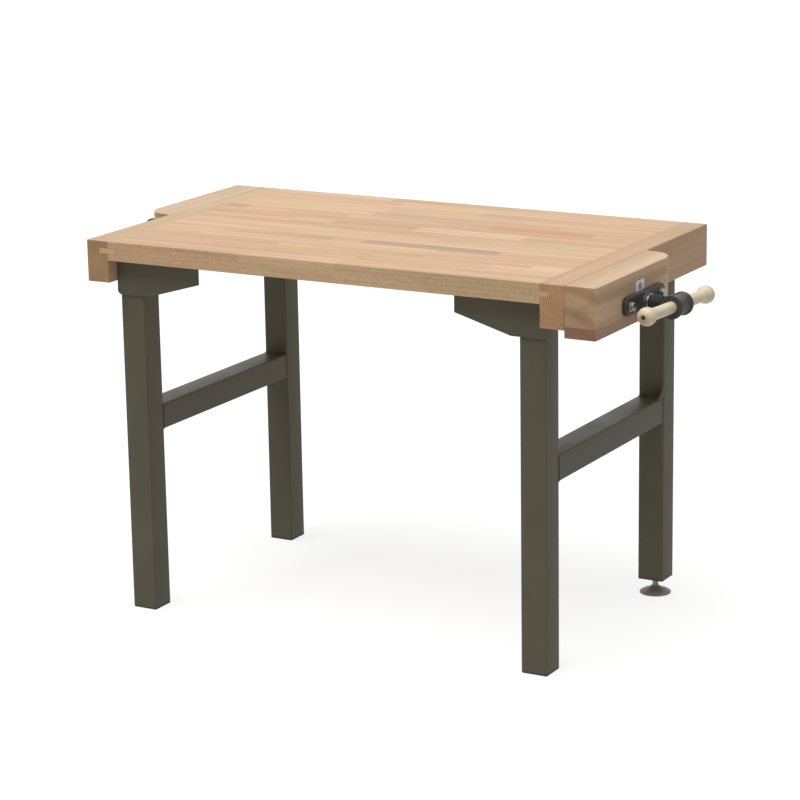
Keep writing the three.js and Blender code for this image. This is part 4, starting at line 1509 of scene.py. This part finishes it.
@dataclass(frozen=True)
class LevellingFoot:
    """The levelling foot of the short leg: insert, threaded stem and round pad.

    Attributes:
        leg: the leg's name.
        thread_mm: the pitch and depth of the stem's thread.
        rim_mm: the height of the pad's upright rim.
        floor_mm: how thick the pad is under the stem.
        slope_mm: the pad's outline from its rim to its neck, as pairs of a distance and a
            height. The first distance is in from the rim, and the others out from the neck.
        neck_mm: how thick the neck's wall is.
        insert_mm: the height of the insert's flange, how much narrower its body is, and the
            radius of the flange's corners, which is twice that of the body's.
    """

    leg: str = "right_back"
    thread_mm: tuple[float, float] = (1.75, 1)
    rim_mm: float = 2.5
    floor_mm: float = 4
    slope_mm: tuple[tuple[float, float], ...] = ((5, 5.5), (5.5, 9), (1.5, 10.8))
    neck_mm: float = 2
    insert_mm: tuple[float, float, float] = (2.4, 5.6, 3)

    def build(self) -> None:
        """Builds the foot's three pieces."""
        stem, pad, insert = (f"{self.leg}_foot_{name}" for name in ("stem", "pad", "insert"))
        width, _depth, height = size_of(stem)
        shell = threaded(width / 2, self.thread_mm, height, upright(stem))
        dress(piece_from(f"{self.leg}_threaded_stem", shell), ZINC_PLATE, stem)
        socket = width / 2 + CLEARANCE
        width, _depth, height = size_of(pad)
        wide, neck, floor = width / 2, socket + self.neck_mm * MM, self.floor_mm * MM
        shoulder, *slope = np.array(self.slope_mm) * MM
        profile = [
            (CORE, 0), (wide, 0), (wide, self.rim_mm * MM), (wide - shoulder[0], shoulder[1]),
            *((neck + out, up) for out, up in slope),
            (neck, height), (socket, height), (socket, floor), (CORE, floor),
        ]
        shell = turned(profile, upright(pad), 72, ease=1 * MM)
        dress(piece_from(f"{self.leg}_round_pad", shell), PAD_PLASTIC, pad)
        width, _depth, height = size_of(insert)
        flange, thinner, corner = np.array(self.insert_mm) * MM
        outer = rectangle(width, width, corner)
        inner = rectangle(width - thinner, width - thinner, corner / 2)
        hole = polar(socket, np.arctan2(outer[:, 1], outer[:, 0]))
        foot, body = [(hole, 0), (outer, 0), (outer, flange)], [(inner, flange), (inner, height)]
        shell = stacked([*foot, *body, (hole, height)], upright(insert), closed=True)
        dress(piece_from(f"{self.leg}_tube_insert", shell), PLUG_PLASTIC, insert)


# ------------------------------------------------------------------------------ the studio


@dataclass(frozen=True)
class Studio:
    """The pale floor, the soft light and the camera.

    Attributes:
        azimuth: the camera's angle round the bench from its front, in degrees.
        elevation: its angle above the level, in degrees.
        roll: how far it leans, in degrees.
        distance: from the camera to the point that it looks at.
        aim: that point, from the middle of the bench's length and depth on the floor.
        lens_mm: the lens, for a sensor 36 mm wide.
        floor_size: the floor's length and depth, far past what the camera sees.
        floor: the floor's own colour.
        glow: how strongly it glows, so that shadows on it stay soft.
        sky: the strength of the even light from above.
        bounce: the strength of the light that comes back up from below.
        backdrop: how much brighter the wall behind the bench is than the sky.
        backdrop_at: the direction of the wall's middle.
        key: the strength of the soft light from above.
        key_from: the direction that it comes from.
        key_width: how wide it looks from the bench, in degrees.
    """

    azimuth: float = 29.41
    elevation: float = 14.29
    roll: float = -0.95
    distance: float = 5.164
    aim: tuple[float, float, float] = (-0.0026, 0.0, 0.3855)
    lens_mm: float = 125.41
    floor_size: float = 90
    floor: str = "#8f8f8f"
    glow: float = 0.8
    sky: float = 0.35
    bounce: float = 0.63
    backdrop: float = 0.75
    backdrop_at: tuple[float, float, float] = (-0.46, 0.82, 0.34)
    key: float = 2.75
    key_from: tuple[float, float, float] = (-0.12, -0.32, 1.0)
    key_width: float = 55.0

    def build_floor(self) -> None:
        """Builds a wide pale floor. It lights nothing itself, and doesn't show in what shines."""
        ring = rectangle(self.floor_size, self.floor_size, 1)
        below = (-20 * MM, -0.5 * MM)
        floor = piece_from("studio_floor", stacked([(ring, place) for place in below], Line((0, 0, 0))))
        material = bpy.data.materials.new("pale studio floor")
        material.use_nodes = True
        inputs = material.node_tree.nodes["Principled BSDF"].inputs
        for name, value in (
            ("Base Color", linear(self.floor)),
            ("Roughness", 0.9),
            ("Specular IOR Level", 0.0),
            ("Emission Color", (1, 1, 1, 1)),
            ("Emission Strength", self.glow),
        ):
            inputs[name].default_value = value
        floor.data.materials.append(material)
        floor.visible_diffuse = False
        floor.visible_glossy = False

    def build_light(self) -> None:
        """Builds the even light and the soft light from above."""
        world = bpy.data.worlds.new("even studio light")
        world.use_nodes = True
        tree = world.node_tree
        way = add_node(tree, "TexCoord", (), "Generated")
        height = add_node(tree, "SeparateXYZ", (way,), "Z")
        even = add_node(tree, "MapRange", (height, -0.04, 0.04, self.bounce, self.sky))
        wall = Vector(self.backdrop_at).normalized()
        toward = add_node(tree, "VectorMath", (way, wall), "Value", operation="DOT_PRODUCT")
        lit = add_node(tree, "MapRange", (toward, 0.55, 0.85, 0, self.backdrop))
        # The wall behind shows in what shines, and throws no light on the bench's back.
        rays = add_node(tree, "LightPath", ()).node.outputs
        lit = add_node(tree, "Math", (lit, rays["Is Glossy Ray"]), operation="MULTIPLY")
        strength = add_node(tree, "Math", (even, lit), operation="ADD")
        # The wall that the camera sees straight on is plain white.
        strength = add_node(tree, "Math", (strength, rays["Is Camera Ray"]), operation="MAXIMUM")
        background = tree.nodes["Background"]
        background.inputs["Color"].default_value = (1, 1, 1, 1)
        tree.links.new(strength, background.inputs["Strength"])
        bpy.context.scene.world = world
        light = bpy.data.lights.new("soft key", "SUN")
        light.energy = self.key
        light.angle = math.radians(self.key_width)
        lamp = bpy.data.objects.new("soft key", light)
        lamp.rotation_mode = "QUATERNION"
        lamp.rotation_quaternion = Vector(self.key_from).to_track_quat("Z", "Y")
        bpy.context.scene.collection.objects.link(lamp)

    def build_camera(self) -> None:
        """Builds the camera."""
        azimuth, elevation, roll = (math.radians(a) for a in (self.azimuth, self.elevation, self.roll))
        level = math.cos(elevation)
        back = Vector((math.sin(azimuth) * level, -math.cos(azimuth) * level, math.sin(elevation)))
        right = Vector((0, 0, 1)).cross(back).normalized()
        up = back.cross(right)
        leaned_right = right * math.cos(roll) + up * math.sin(roll)
        leaned_up = up * math.cos(roll) - right * math.sin(roll)
        turn = Matrix((leaned_right, leaned_up, back)).transposed().to_4x4()
        data = bpy.data.cameras.new("camera")
        data.lens = self.lens_mm
        data.sensor_width = 36.0
        data.clip_end = 200.0
        camera = bpy.data.objects.new("camera", data)
        camera.matrix_world = Matrix.Translation(Vector(self.aim) + back * self.distance) @ turn
        bpy.context.scene.collection.objects.link(camera)
        bpy.context.scene.camera = camera

    def build(self) -> None:
        """Builds the whole studio."""
        self.build_floor()
        self.build_light()
        self.build_camera()
        bpy.context.scene.view_settings.view_transform = "Standard"


def main() -> None:
    """Builds the bench around the frame, in the studio."""
    logging.basicConfig(level=logging.INFO, format="%(name)s: %(message)s")
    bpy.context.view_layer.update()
    Studio().build()
    GluedTop().build()
    for side, rows in ENDS.items():
        Vice(side, rows).build()
    Label().build()
    for side, rows in ENDS.items():
        EndFrame(side, rows).build()
    LevellingFoot().build()


if __name__ == "__main__":
    main()
